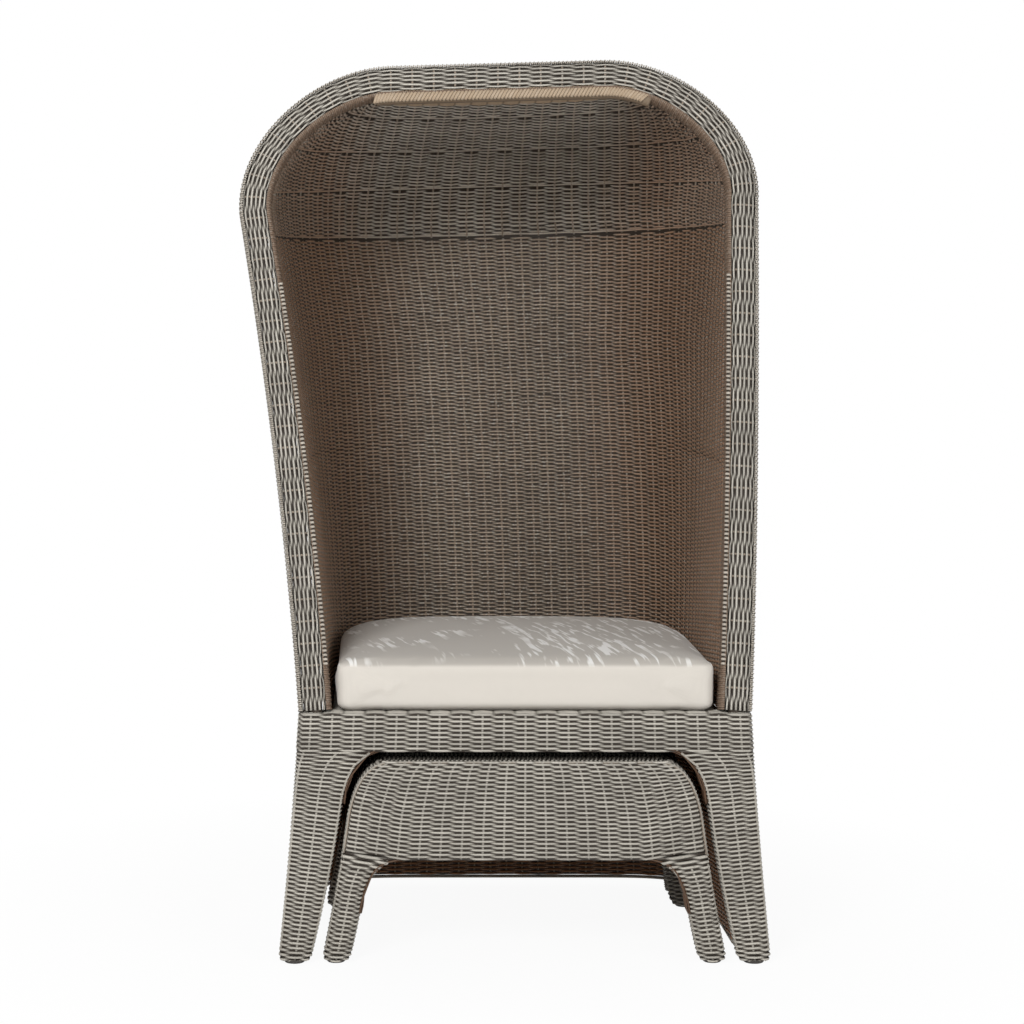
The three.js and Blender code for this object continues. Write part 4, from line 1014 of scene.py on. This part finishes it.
def make_rim_edge():
    """What wraps the rim: strand ends round its outer side, a lining along its inner side, small loops
    along the inner side of its long sides, and a slanted binding of bare strand under its top."""
    weave = weave_sizes()
    total = rim_line()[2][-1]
    count = round(total / weave.pitch)
    where = centres(count) * total
    outer = np.array([[-0.0208, -0.0196], [-0.0244, -0.0172], [-0.0262, -0.0120], [-0.0264, 0.0],
                      [-0.0262, 0.0120], [-0.0240, 0.0185]])
    lining = np.array([[0.0185, -0.0135], [0.0222, -0.0125], [0.0248, -0.0075], [0.0262, 0.0020],
                       [0.0262, 0.0110], [0.0245, 0.0175]])
    ends = wraps(where, outer, breadth=0.0013, thick=0.0009, seed=61, outside=0.6, proud=0.0010)
    inner = wraps(where, lining, breadth=0.0021, thick=0.0009, seed=62, outside=0.05, proud=0.0008)
    # Painted shade on the rim's inner lining: its lift is lowered and it takes some darker reddish brown
    inner = painted(inner, lift=inner[2]["lift"] * 0.3 - 0.1, russet=0.35)
    parts = [ends, inner]
    turn = np.linspace(-0.2, 0.9, 9) * math.pi
    loop = np.stack([LOOP_INSET - LOOP_RADIUS * np.cos(turn), LOOP_SETBACK - LOOP_RADIUS * np.sin(turn)], -1)
    where = LOOP_START + np.arange(int(LOOP_REACH / LOOP_PITCH)) * LOOP_PITCH
    for at in (where, total - where):
        parts.append(wraps(at, loop, breadth=0.0022, thick=0.0010, seed=63, outside=0.55))
        # The loops' core is painted almost all in the shadow colour, as painted shade
        parts.append(rim_core(at.min(), at.max(), LOOP_INSET, LOOP_SETBACK, radius=0.0028, lift=-0.9))
    start = total / 2 - RIM_TOP - 0.090
    stop = total / 2 + RIM_TOP + 0.028
    where = mix(start, stop, centres(round((stop - start) / BINDING_PITCH)))
    turn = np.linspace(-0.35, 0.75, 12) * math.pi
    band = np.stack([BINDING_INSET - BINDING_RADIUS * np.cos(turn),
                     BINDING_SETBACK - BINDING_RADIUS * np.sin(turn)], -1)
    binding = wraps(where, band, breadth=0.0029, thick=0.0017, seed=65, slant=0.024)
    parts.append(painted(binding, warm=1.0))
    # The binding's core is half darkened by painted shade through its lift
    core = rim_core(start - 0.004, stop + 0.004, BINDING_INSET, BINDING_SETBACK, radius=0.0112, lift=0.1)
    parts.append(painted(core, warm=1.0))
    return woven_piece("rim_edge_loops", parts, "chair")


def rounded_plan(left, right, front, back):
    """A closed rounded rectangle in plan for each row, from the middle of its front, turning left.

    left, right, front and back are arrays over the rows."""
    radius = PLAN_CORNER
    turn = np.linspace(0, math.pi / 2, 5)
    west, east, south, north = left + radius, right - radius, front + radius, back - radius
    corners = []
    for x, y, start in ((west, south, -math.pi / 2), (west, north, math.pi),
                        (east, north, math.pi / 2), (east, south, 0.0)):
        round_x, round_y = radius * np.cos(start - turn), radius * np.sin(start - turn)
        corners.append(np.stack([x[:, None] + round_x, y[:, None] + round_y], -1))
    middle = np.stack([(left + right) / 2, front], -1)[:, None]
    return np.concatenate([middle, *corners, middle], axis=1)


def wound(plan, height, stakes, weave, seed, every, sheet_every):
    """Strands in closed rows on rounded plans, with stations by even shares of each loop and their
    height from height(x). Stakes pass through every so many rows, and a backing sheet lies inside."""
    share = np.arange(stakes * PER_STAKE)[None] / (stakes * PER_STAKE)
    flat = along(plan, share * line_lengths(plan)[:, -1:])
    middle = np.concatenate([flat, height(flat[..., 0])[..., None]], -1)
    cloth = Cloth(middle, closed=True).facing_out()
    stake = share * stakes + np.zeros((len(plan), 1))
    strands = washed(weft(cloth, stake, np.ones(stake.shape, bool), weave, closed=True, seed=seed), 0.75)
    picked = (slice(None, None, every), slice(None, None, PER_STAKE))
    uprights = rods(cloth.middle[picked].swapaxes(0, 1), weave.stake_diameter / 2,
                    outward=cloth.out[picked].swapaxes(0, 1))
    return joined(strands, uprights, shade_backing(cloth.middle[::sheet_every], closed=True))


class LegPanel:
    """A panel with two legs and an arch: its outside and its arch as half widths at each height.

    Both lines are a quadratic curve from foot to shoulder and a cubic corner from there to the top."""

    def __init__(self, foot_outer, foot_inner, shoulder, shoulder_height, top, height,
                 arch_shoulder, arch_shoulder_height, arch_half, arch_top, front, back, inset):
        self.height, self.arch_top = height, arch_top
        self.front, self.back, self.inset = front, back, inset
        self.outer_line = self._line(foot_outer, shoulder, shoulder_height, top, height)
        self.arch_line = self._line(foot_inner, arch_shoulder, arch_shoulder_height, arch_half, arch_top)

    @staticmethod
    def _line(foot, shoulder, shoulder_height, top, height):
        """Half widths and heights along one of the two lines."""
        knee = np.array([mix(foot, shoulder, LEG_KNEE), (FOOT_LEVEL + shoulder_height) / 2])
        end = np.array([shoulder, shoulder_height])
        side = bezier(np.linspace(0, 1, 40), [foot, FOOT_LEVEL], knee, end)
        if height <= shoulder_height:
            return side
        low = end + unit(end - knee) * CORNER_HANDLE * (height - shoulder_height)
        high = [top + CORNER_HANDLE * (shoulder - top), height]
        return np.concatenate([side, bezier(np.linspace(0, 1, 60), end, low, high, [top, height])[1:]])

    def outer(self, z):
        """Half width of the outside at a height, drawn in by the weave's own reach."""
        return np.interp(z, self.outer_line[:, 1], self.outer_line[:, 0]) - self.inset

    def arch(self, z):
        """Half width of the arch at a height, widened by the weave's own reach."""
        return np.interp(z, self.arch_line[:, 1], self.arch_line[:, 0]) + self.inset


def leg_rows(panel, sign, weave, seed, top_tilt=0.0):
    """Loops round one leg, from the foot to the arch's top, tilted so that they stay square to it and
    drawn in where the foot's edge is rounded."""
    low, high = weave.half_thickness + FOOT_GAP, panel.arch_top - weave.pitch / 2
    count = round((high - low) / weave.pitch)
    z = mix(low, high, np.arange(count) / (count - 1))
    slope = np.interp(z, [low, low + 0.05, panel.arch_top - 0.09, panel.arch_top],
                      [0.0, LEG_TILT, LEG_TILT, top_tilt])
    drawn = 0.006 * np.clip(1 - (z - low) / 0.010, 0, 1) ** 2
    inner = panel.arch(z)
    outer = inner + 0.03
    for _ in range(4):
        outer = panel.outer(z + slope * (outer - inner))
    near, far = inner + drawn, outer - drawn
    left, right = (near, far) if sign > 0 else (-far, -near)
    plan = rounded_plan(left, right, panel.front + panel.inset + drawn, panel.back - panel.inset - drawn)
    return wound(plan, lambda x: z[:, None] + slope[:, None] * (np.abs(x) - inner[:, None]),
                 LEG_STAKES, weave, seed, every=6, sheet_every=4)


def panel_rows(panel, stakes, weave, seed, lift=lambda z: 0 * z):
    """Loops round the whole panel, from the arch's top to the panel's top."""
    low, high = panel.arch_top + weave.pitch / 2, panel.height - weave.sway - weave.half_thickness
    count = round((high - low) / weave.pitch)
    z = mix(low, high, np.arange(count) / (count - 1))
    slope = lift(z)
    start = panel.arch(np.array([panel.arch_top]))[0]
    outer = panel.outer(z)
    for _ in range(6):
        outer = panel.outer(np.minimum(z + slope * np.maximum(outer - start, 0), panel.height))
    front = np.full(count, panel.front + panel.inset)
    back = np.full(count, panel.back - panel.inset)
    return wound(rounded_plan(-outer, outer, front, back),
                 lambda x: z[:, None] + slope[:, None] * np.maximum(np.abs(x) - start, 0),
                 stakes, weave, seed, every=4, sheet_every=2)


def strip(x, y, z, weave, seed, facing):
    """Strands side by side in depth, one along each row of the line or surface x, y, z."""
    x, y, z = np.broadcast_arrays(x, y, z)
    lines = np.stack([x, y, z], -1)
    points, stake, present = on_rows(lines, np.full(len(lines), PANEL_SPACING))
    return weft(Cloth(points).facing(facing), stake, present, weave, seed=seed), lines


def arch_strip(panel, weave, seed):
    """Strands under the arch, along its line from one shoulder to the other, side by side in depth."""
    line = panel.arch_line[panel.arch_line[:, 1] > panel.arch_top - 0.095]
    line = np.concatenate([line * [-1, 1], line[::-1]])
    front, back = panel.front + panel.inset, panel.back - panel.inset
    y = mix(front, back, centres(round((back - front) / weave.pitch)))[:, None]
    strands, _ = strip(line[:, 0], y, line[:, 1] + panel.inset, weave, seed, DOWN)
    # Painted shade under the arch: little of the pale outer colour, much darker reddish brown and a low lift
    # that the shadow colour darkens
    return painted(strands, outside=0.2, russet=0.9, lift=np.clip(strands[2]["lift"], -0.12, -0.02))


def top_strip(half, front, back, level, weave, seed):
    """Strands along a flat top, side by side in depth."""
    y = mix(front, back, centres(round((back - front) / weave.pitch)))[:, None]
    strands, _ = strip(np.linspace(-half, half, 40), y, level, weave, seed, UP)
    return washed(strands, 0.7)


def make_base_front():
    """The base's front: closed loops round each leg and round the apron, strands under and over it."""
    weave = weave_sizes()
    panel = LegPanel(foot_outer=FOOT_OUTER, foot_inner=FOOT_INNER, shoulder=BASE_HALF, shoulder_height=SEAT,
                     top=BASE_HALF, height=SEAT, arch_shoulder=ARCH_SHOULDER, arch_shoulder_height=0.262,
                     arch_half=ARCH_SHOULDER - 0.071, arch_top=ARCH_TOP, front=0.0, back=BASE_DEPTH,
                     inset=weave.sway + weave.half_thickness)
    parts = [leg_rows(panel, side, weave, 70 + side) for side in (-1, 1)]
    parts.append(panel_rows(panel, 44, weave, 75))
    parts.append(arch_strip(panel, weave, 76))
    level = SEAT - weave.sway - weave.half_thickness
    parts.append(top_strip(BASE_HALF - 0.005, 0.004, BASE_DEPTH - 0.004, level, weave, 77))
    return woven_piece("base_front_weave", parts, "chair", ("base_front",))


def make_skirt():
    """The skirt round the sides and back under the seat, and the roll along its hem."""
    weave = weave_sizes()
    count = round((SEAT - HEM_LEVEL) / weave.pitch)
    spacing = np.full(count, SKIRT_SPACING)
    lines = skirt_rows(centres(count))
    points, stake, present = on_rows(lines, spacing)
    strands = weft(Cloth(points), stake, present, weave, seed=81)
    # Painted shade: the skirt's inner side, under the seat, is darker reddish brown, with its lift held up so
    # that the shadow colour does not take it all
    inner = np.clip(1.3 - 1.6 * strands[2]["outside"], 0, 1)
    strands = painted(strands, russet=inner, lift=np.maximum(strands[2]["lift"], 0.9 * inner - 0.45))
    stakes = stakes_on(lines, spacing, 9, weave.stake_diameter / 2)
    hem = evened(skirt_rows(np.array([0.0])) - [0, 0, 0.0036], 160)
    roll = rods(hem, 0.003, sides=8, outward=UP)
    sheet = shade_backing(evened(skirt_rows(np.linspace(0, 1, 30))))
    return woven_piece("skirt_weave", [strands, stakes, roll, sheet], "chair",
                       ("skirt_left", "skirt_back", "skirt_right", "skirt_hem"))


def make_deck():
    """The woven seat deck: rows across the seat, each as long as the wall's lowest row leaves room for."""
    weave = weave_sizes()
    wall = hood_rows(np.array([LOWEST_ROW]))[0]
    right = wall[len(wall) // 2:][::-1]
    front, back = BASE_DEPTH + 0.002, right[:, 1].max() - 0.007
    y = mix(front, back, centres(round((back - front) / weave.pitch)))[:, None]
    half = np.interp(y, right[:, 1], right[:, 0]) - 0.0055
    level = SEAT - weave.sway - weave.half_thickness - 0.0007
    strands, lines = strip(half * np.linspace(-1, 1, 30), y, level, weave, 121, UP)
    return woven_piece("seat_deck_weave", [strands, shade_backing(lines[:, ::2])], "chair", ("seat_deck",))


def stool_panel(weave, front):
    """The shape that the footstool's two end panels share."""
    return LegPanel(foot_outer=FOOT_INNER - 0.017, foot_inner=FOOT_INNER - 0.064, shoulder=STOOL_SHOULDER,
                    shoulder_height=0.238, top=STOOL_SHOULDER - 0.072, height=STOOL_HEIGHT,
                    arch_shoulder=STOOL_SHOULDER - 0.028, arch_shoulder_height=0.108,
                    arch_half=STOOL_SHOULDER - 0.098, arch_top=STOOL_ARCH_TOP,
                    front=front, back=front + STOOL_PANEL, inset=weave.sway + weave.half_thickness)


def stool_lift(z):
    """How steeply the rows of a footstool end rise towards its sides, at each height."""
    return np.interp(z, [STOOL_ARCH_TOP, 0.22, 0.27, STOOL_HEIGHT], [STOOL_TILT, 0.17, 0.2, 0.0])


def make_stool_ends():
    """The footstool's front and back panels with their legs."""
    weave = weave_sizes()
    made = []
    for name, front in (("front", STOOL_FRONT), ("back", STOOL_BACK - STOOL_PANEL)):
        panel = stool_panel(weave, front)
        parts = [leg_rows(panel, side, weave, 90 + side, STOOL_TILT) for side in (-1, 1)]
        parts.append(panel_rows(panel, 36, weave, 95, stool_lift))
        parts.append(arch_strip(panel, weave, 96))
        made.append(woven_piece("footstool_%s_weave" % name, parts, "footstool", ("footstool_%s" % name,)))
    return made


def make_stool_top():
    """The footstool's top and sides as one bent sheet: strands run front to back over its outline,
    and are left out inside the arch of each side, whose two ends are quarter circles."""
    weave = weave_sizes()
    line = stool_panel(weave, 0).outer_line
    line = line[line[:, 1] > STOOL_ARCH_TOP - SIDE_ARCH_RADIUS]
    outline = np.concatenate([line * [-1, 1], line[::-1]])
    slope = unit(np.gradient(outline, axis=0))
    outline = outline + np.stack([slope[:, 1], -slope[:, 0]], -1) * (weave.sway + weave.half_thickness)
    count = round(line_lengths(outline[None])[0, -1] / weave.pitch)
    stations = share_of(outline, centres(count))
    front, back = STOOL_FRONT + 0.004, STOOL_BACK - 0.004
    stake = np.arange(STOOL_TOP_STAKES * PER_STAKE + 1)[None, :] / PER_STAKE + np.zeros((count, 1))
    y = front + stake * (back - front) / STOOL_TOP_STAKES
    cloth = Cloth(np.stack([stations[:, :1] + 0 * y, y, stations[:, 1:] + 0 * y], -1))
    cloth.facing(cloth.middle - np.array([0, 0.2, 0.1]))
    z = cloth.middle[..., 2]
    inside = np.minimum(y - (STOOL_FRONT + STOOL_PANEL), STOOL_BACK - STOOL_PANEL - y)
    share = 1 - np.clip(inside / SIDE_ARCH_RADIUS, 0, 1)
    limit = STOOL_ARCH_TOP - SIDE_ARCH_RADIUS * (1 - np.sqrt(1 - share ** 2))
    present = without_lone((z > limit) & ((inside > -0.002) | (z > STOOL_ARCH_TOP)), 1)
    strands = washed(weft(cloth, stake, present, weave, seed=101), 0.5)
    picked = (slice(None, None, 4), slice(None, None, PER_STAKE))
    shown = without_lone(present[picked].T, 1)
    stakes = rods(cloth.middle[picked].swapaxes(0, 1), weave.stake_diameter / 2, shown,
                  outward=cloth.out[picked].swapaxes(0, 1))
    sheet = shade_backing(cloth.middle[::2, ::2], present=present[::2, ::2])
    return woven_piece("footstool_top_weave", [strands, stakes, sheet], "footstool", ("footstool_top",))


def make_back_legs():
    """Back legs wrapped closely with strand from the glide up to the seat's rail."""
    weave = weave_sizes()
    made = []
    for side, inner in (("left", 1), ("right", -1)):
        low, high = (np.array(corner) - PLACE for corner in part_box("back_leg_" + side))
        foot_x, head_x = (low[0], high[0]) if side == "left" else (high[0], low[0])
        foot = np.array([foot_x + inner * BACK_LEG_RADIUS, low[1] + BACK_LEG_RADIUS, low[2]])
        head = np.array([head_x - inner * BACK_LEG_RADIUS, high[1] - BACK_LEG_RADIUS, high[2]])
        count = round((high[2] - low[2]) / weave.pitch)
        centre = mix(foot, head, centres(count)[:, None])
        angle = 2 * math.pi * np.arange(12) / 12
        radius = BACK_LEG_RADIUS - weave.half_thickness
        middle = np.stack([centre[:, :1] + radius * np.cos(angle), centre[:, 1:2] + radius * np.sin(angle),
                           centre[:, 2:] + 0 * angle], -1)
        cloth = Cloth(middle, closed=True).facing_out()
        flat = STRAND_SECTION[:, 0] * (cloth.pitch * 0.49)[..., None]
        deep = STRAND_SECTION[:, 1] * weave.half_thickness * np.ones(flat.shape)
        tone = np.random.default_rng(111).uniform(0, 1, (count, 1, 1))
        coils = strand_part(cloth.ovals(flat, deep), (angle[None, :, None] * radius + tone * 5, flat, deep),
                            closed=True, outside=0.55, lift=0.9, tone=tone)
        core = rods(mix(foot, head, np.linspace(0, 1, 4)[:, None])[None], 0.0118, sides=12)
        made.append(woven_piece("back_leg_%s_wrap" % side, [coils, core], "chair", ("back_leg_" + side,)))
    return made


def cushion_outline(half, depth, front, corner):
    """Half-round back as a superellipse, straight sides, small round corners at the front, by length."""
    angle = np.linspace(0, math.pi, 200)
    power = 2 / CUSHION_SQUARENESS
    middle = front + depth / 2
    back = np.stack([half * signed_power(np.cos(angle), power),
                     middle + depth / 2 * np.sin(angle) ** power], -1)
    turn = np.linspace(0, math.pi / 2, 16)
    left = np.stack([-(half - corner) - corner * np.cos(turn), front + corner - corner * np.sin(turn)], -1)
    line = np.concatenate([back, left, left[::-1] * [-1, 1], back[:1]])
    return share_of(line, np.arange(CUSHION_POINTS) / CUSHION_POINTS)


def cushion_rings(outline, middle):
    """Rings of the cushion from the middle of its underside over its sides to the middle of its top.

    On the underside and top a ring is the outline scaled about the middle; on the sides it is the
    outline drawn in by a table over the height. The top rises to the crown by a rounded power."""
    reach = outline - middle
    length = np.linalg.norm(reach, axis=1, keepdims=True)
    base, top = CUSHION_BASE, CUSHION_BASE + CUSHION_THICK
    levels = np.array([0, 0.02, 0.06, 0.13, 0.25, 0.4, 0.6, 0.75, 0.87, 0.94, 0.98, 1.0])
    inward = np.interp(levels, [0, 0.02, 0.06, 0.13, 0.5, 0.9, 0.97, 1.0],
                       [0.017, 0.011, 0.005, 0.001, 0.002, 0.0005, 0.002, 0.005])
    under = [(share, inward[0], base) for share in (0.05, 0.35, 0.7, 0.9)]
    sides = [(1, pull, base + CUSHION_THICK * level) for level, pull in zip(levels, inward)]
    over = [(share, inward[-1], top + CUSHION_CROWN * (1 - share ** 2) ** 0.8)
            for share in (0.975, 0.93, 0.85, 0.7, 0.5, 0.3, 0.1, 0.03)]
    rings = []
    for share, pull, level in under + sides + over:
        flat = middle + reach * share * (length - pull) / length
        rings.append(np.concatenate([flat, np.full((len(flat), 1), level)], 1))
    return np.stack(rings)


def make_cushion():
    """A box cushion: a closed form whose sides pull in and whose top is crowned, swollen by cloth
    pressure and kept near its start."""
    outline = cushion_outline(CUSHION_HALF - CUSHION_SHRINK, CUSHION_DEPTH - 2 * CUSHION_SHRINK,
                              CUSHION_FRONT + CUSHION_SHRINK, 0.016)
    middle = np.array([CUSHION_SHIFT, CUSHION_FRONT + CUSHION_DEPTH / 2])
    grid = cushion_rings(outline + [CUSHION_SHIFT, 0], middle)
    number = np.arange(grid.shape[0] * CUSHION_POINTS).reshape(grid.shape[:2])
    side = np.roll(number, -1, axis=1)
    faces = np.stack([number[:-1], number[1:], side[1:], side[:-1]], -1).reshape(-1, 4)
    summit = CUSHION_BASE + CUSHION_THICK + CUSHION_CROWN
    poles = np.array([[*middle, CUSHION_BASE], [*middle, summit]])
    low_pole = np.full(CUSHION_POINTS, number.size)
    caps = np.concatenate([np.stack([low_pole, number[0], side[0]], -1),
                           np.stack([low_pole + 1, side[-1], number[-1]], -1)])
    points = np.concatenate([grid.reshape(-1, 3), poles]) + PLACE
    mesh = bpy.data.meshes.new("seat_cushion_pad")
    mesh.from_pydata(points.tolist(), [], faces.tolist() + caps.tolist())
    mesh.update()
    pad = bpy.data.objects.new("seat_cushion_pad", mesh)
    bpy.context.scene.collection.objects.link(pad)
    fix_outward(pad)
    swell(pad)
    pad.data.polygons.foreach_set("use_smooth", np.ones(len(pad.data.polygons), bool))
    # The top attribute marks the cushion's top, where the cloth takes painted shade and painted streaks of
    # light
    rise = vertex_places(pad)[:, 2] - (CUSHION_BASE + CUSHION_THICK - 0.004)
    layer = pad.data.attributes.new("top", "FLOAT", "POINT")
    layer.data.foreach_set("value", np.clip(rise / 0.006, 0, 1).astype(np.float32))
    pad.data.materials.clear()
    pad.data.materials.append(material("cushion"))
    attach(pad, "cushion")
    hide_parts("seat_cushion")
    return pad


def fix_outward(piece):
    """Makes a closed mesh's faces point outwards."""
    work = bmesh.new()
    work.from_mesh(piece.data)
    bmesh.ops.recalc_face_normals(work, faces=work.faces)
    work.to_mesh(piece.data)
    work.free()


def vertex_places(piece):
    """The piece's vertices as an array (n, 3)."""
    places = np.zeros(len(piece.data.vertices) * 3, np.float32)
    piece.data.vertices.foreach_get("co", places)
    return places.reshape(-1, 3)


def swell(piece):
    """Cloth pressure on an even remesh of the piece, with how far a point may move held small."""
    scene = bpy.context.scene
    bpy.context.view_layer.objects.active = piece
    remesh = piece.modifiers.new("even", "REMESH")
    remesh.mode = "VOXEL"
    remesh.voxel_size = 0.005
    remesh.use_smooth_shade = True
    apply_modifiers(piece)
    rest = vertex_places(piece)
    cloth = piece.modifiers.new("swell", "CLOTH")
    cloth.settings.use_pressure = True
    cloth.settings.uniform_pressure_force = 4.0
    cloth.settings.quality = 5
    cloth.settings.effector_weights.gravity = 0.0
    cloth.point_cache.frame_start = 1
    cloth.point_cache.frame_end = SWELL_STEPS
    for step in range(1, SWELL_STEPS + 1):
        scene.frame_set(step)
    apply_modifiers(piece)
    scene.frame_set(1)
    move = vertex_places(piece) - rest
    length = np.linalg.norm(move, axis=1, keepdims=True)
    place = rest + move * np.minimum(1, SWELL_MOST / np.maximum(length, 1e-9))
    place[:, 2] = np.maximum(place[:, 2], SEAT + 0.0004)
    piece.data.vertices.foreach_set("co", place.astype(np.float32).ravel())
    piece.data.update()


def apply_modifiers(piece):
    """Replaces the piece's mesh by what its modifiers make of it."""
    evaluated = piece.evaluated_get(bpy.context.evaluated_depsgraph_get())
    mesh = bpy.data.meshes.new_from_object(evaluated)
    piece.modifiers.clear()
    piece.data = mesh


def make_frame_finishes():
    """Materials for the tubes, slats, ribs and glides that are kept from the frame."""
    shown = {name: node for name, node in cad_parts.items() if not node.hide_render}
    for name, node in shown.items():
        finish = material("glide" if "glide" in name else "frame")
        if not node.material_slots:
            node.data.materials.append(finish)
        for slot in node.material_slots:
            slot.material = finish
    return shown


def make_floor():
    """A wide flat floor at height 0."""
    size = 12.0
    corners = [(-size, -size, 0), (size, -size, 0), (size, size, 0), (-size, size, 0)]
    mesh = bpy.data.meshes.new("floor")
    mesh.from_pydata(corners, [], [(0, 1, 2, 3)])
    mesh.materials.append(floor_material("pale_floor", bpy.context.scene.beach_chair_colours.floor))
    floor = bpy.data.objects.new("floor", mesh)
    bpy.context.scene.collection.objects.link(floor)


def make_even_light(strength):
    """The world: an even light from all round, plain white where the camera looks straight at it."""
    world = bpy.data.worlds.new("studio")
    bpy.context.scene.world = world
    recipe = Recipe("studio", world)
    light = recipe.node("ShaderNodeBackground", {}, {"Color": WHITE, "Strength": strength})
    plain = recipe.node("ShaderNodeBackground", {}, {"Color": WHITE, "Strength": 1.0})
    both = recipe.node("ShaderNodeMixShader", {}, {0: recipe.seen_straight(), 1: light.out(), 2: plain.out()})
    recipe.node("ShaderNodeOutputWorld", {}, {"Surface": both.out()})


def make_lamp(name, place, size, power, target):
    """A square soft lamp at a place, turned towards a target."""
    lamp = bpy.data.lights.new(name, "AREA")
    lamp.energy = power
    lamp.size = size
    holder = bpy.data.objects.new(name, lamp)
    bpy.context.scene.collection.objects.link(holder)
    holder.location = place
    holder.rotation_euler = (Vector(target) - Vector(place)).to_track_quat("-Z", "Y").to_euler()


def make_camera(pitch):
    """The camera in front of the chair, shifted so that the chair stands where it does in the picture."""
    data = bpy.data.cameras.new("camera")
    data.sensor_width = 36.0
    data.lens = CAMERA_LENS
    data.shift_x, data.shift_y = CAMERA_SHIFT
    camera = bpy.data.objects.new("camera", data)
    bpy.context.scene.collection.objects.link(camera)
    camera.location = (PLACE[0] + CAMERA_PLACE[0], PLACE[1] + CAMERA_PLACE[1], CAMERA_PLACE[2])
    camera.rotation_euler = (math.pi / 2 - pitch, 0, 0)
    bpy.context.scene.camera = camera
    return camera


def make_stage():
    """Floor, lamps, even light and the camera."""
    stage = bpy.context.scene.beach_chair_stage
    bpy.context.scene.view_settings.view_transform = "Standard"
    make_floor()
    make_even_light(stage.fill_strength)
    make_lamp("key", (-1.4, -3.6, 2.7), 1.3, stage.key_power, (0, 0, 0.7))
    make_lamp("fill", (2.6, -2.8, 1.4), 2.2, stage.key_power * 0.3, (0, 0, 0.7))
    make_lamp("back", (-1.2, 4.2, 2.6), 2.4, stage.key_power * 0.55, (0, 0.4, 0.8))
    return make_camera(stage.camera_pitch)


# Operators

def finished(label, *made):
    """Blender's answer for an operator that made all its pieces; an error where one is missing."""
    for piece in made:
        if not piece:
            raise RuntimeError(label + " could not be made")
    return {"FINISHED"}


class BEACHCHAIR_OT_hood_wall(bpy.types.Operator):
    """Make the woven wall between the seat and the crease"""
    bl_idname = "beach_chair.hood_wall"
    bl_label = "Hood wall"
    bl_options = {"REGISTER", "UNDO"}

    def execute(self, context):
        return finished(self.bl_label, make_walls())


class BEACHCHAIR_OT_crown(bpy.types.Operator):
    """Make the woven crown and the roof's front"""
    bl_idname = "beach_chair.crown"
    bl_label = "Hood crown"
    bl_options = {"REGISTER", "UNDO"}

    def execute(self, context):
        return finished(self.bl_label, make_crown(), make_roof_front())


class BEACHCHAIR_OT_rim(bpy.types.Operator):
    """Make the roll round the mouth of the hood and what wraps it"""
    bl_idname = "beach_chair.rim"
    bl_label = "Rim"
    bl_options = {"REGISTER", "UNDO"}

    def execute(self, context):
        return finished(self.bl_label, make_rim(), make_rim_edge())


class BEACHCHAIR_OT_base(bpy.types.Operator):
    """Make the base's front, the seat deck, the skirt and the back legs"""
    bl_idname = "beach_chair.base"
    bl_label = "Base"
    bl_options = {"REGISTER", "UNDO"}

    def execute(self, context):
        return finished(self.bl_label, make_base_front(), make_deck(), make_skirt(), make_back_legs())


class BEACHCHAIR_OT_footstool(bpy.types.Operator):
    """Make the footstool's ends and its top"""
    bl_idname = "beach_chair.footstool"
    bl_label = "Footstool"
    bl_options = {"REGISTER", "UNDO"}

    def execute(self, context):
        return finished(self.bl_label, make_stool_ends(), make_stool_top())


class BEACHCHAIR_OT_cushion(bpy.types.Operator):
    """Make the seat cushion"""
    bl_idname = "beach_chair.cushion"
    bl_label = "Cushion"
    bl_options = {"REGISTER", "UNDO"}

    def execute(self, context):
        return finished(self.bl_label, make_cushion())


class BEACHCHAIR_OT_finishes(bpy.types.Operator):
    """Give the tubes, slats, ribs and glides their finish"""
    bl_idname = "beach_chair.finishes"
    bl_label = "Frame finishes"
    bl_options = {"REGISTER", "UNDO"}

    def execute(self, context):
        return finished(self.bl_label, make_frame_finishes())


class BEACHCHAIR_OT_stage(bpy.types.Operator):
    """Make the floor, lamps and camera"""
    bl_idname = "beach_chair.stage"
    bl_label = "Stage"
    bl_options = {"REGISTER", "UNDO"}

    def execute(self, context):
        return finished(self.bl_label, make_stage())


OPERATORS = [BEACHCHAIR_OT_hood_wall, BEACHCHAIR_OT_crown, BEACHCHAIR_OT_rim, BEACHCHAIR_OT_base,
             BEACHCHAIR_OT_footstool, BEACHCHAIR_OT_cushion, BEACHCHAIR_OT_finishes, BEACHCHAIR_OT_stage]


class BEACHCHAIR_PT_panel(bpy.types.Panel):
    """Lists the sizes, colours and pieces of the chair"""
    bl_label = "Beach chair"
    bl_idname = "BEACHCHAIR_PT_panel"
    bl_space_type = "VIEW_3D"
    bl_region_type = "UI"
    bl_category = "Beach chair"

    def draw(self, context):
        scene = context.scene
        for group in (scene.beach_chair_weave, scene.beach_chair_colours, scene.beach_chair_stage):
            for key in group.bl_rna.properties.keys():
                if key not in ("rna_type", "name"):
                    self.layout.prop(group, key)
        for made in OPERATORS:
            self.layout.operator(made.bl_idname)


CLASSES = [BeachChairWeave, BeachChairColours, BeachChairStage, *OPERATORS, BEACHCHAIR_PT_panel]


def register():
    for kind in CLASSES:
        bpy.utils.register_class(kind)
    bpy.types.Scene.beach_chair_weave = bpy.props.PointerProperty(type=BeachChairWeave)
    bpy.types.Scene.beach_chair_colours = bpy.props.PointerProperty(type=BeachChairColours)
    bpy.types.Scene.beach_chair_stage = bpy.props.PointerProperty(type=BeachChairStage)


def unregister():
    del bpy.types.Scene.beach_chair_weave
    del bpy.types.Scene.beach_chair_colours
    del bpy.types.Scene.beach_chair_stage
    for kind in reversed(CLASSES):
        bpy.utils.unregister_class(kind)


def main():
    register()
    for made in OPERATORS:
        group, key = made.bl_idname.split(".")
        getattr(getattr(bpy.ops, group), key)()


if __name__ == "__main__":
    main()
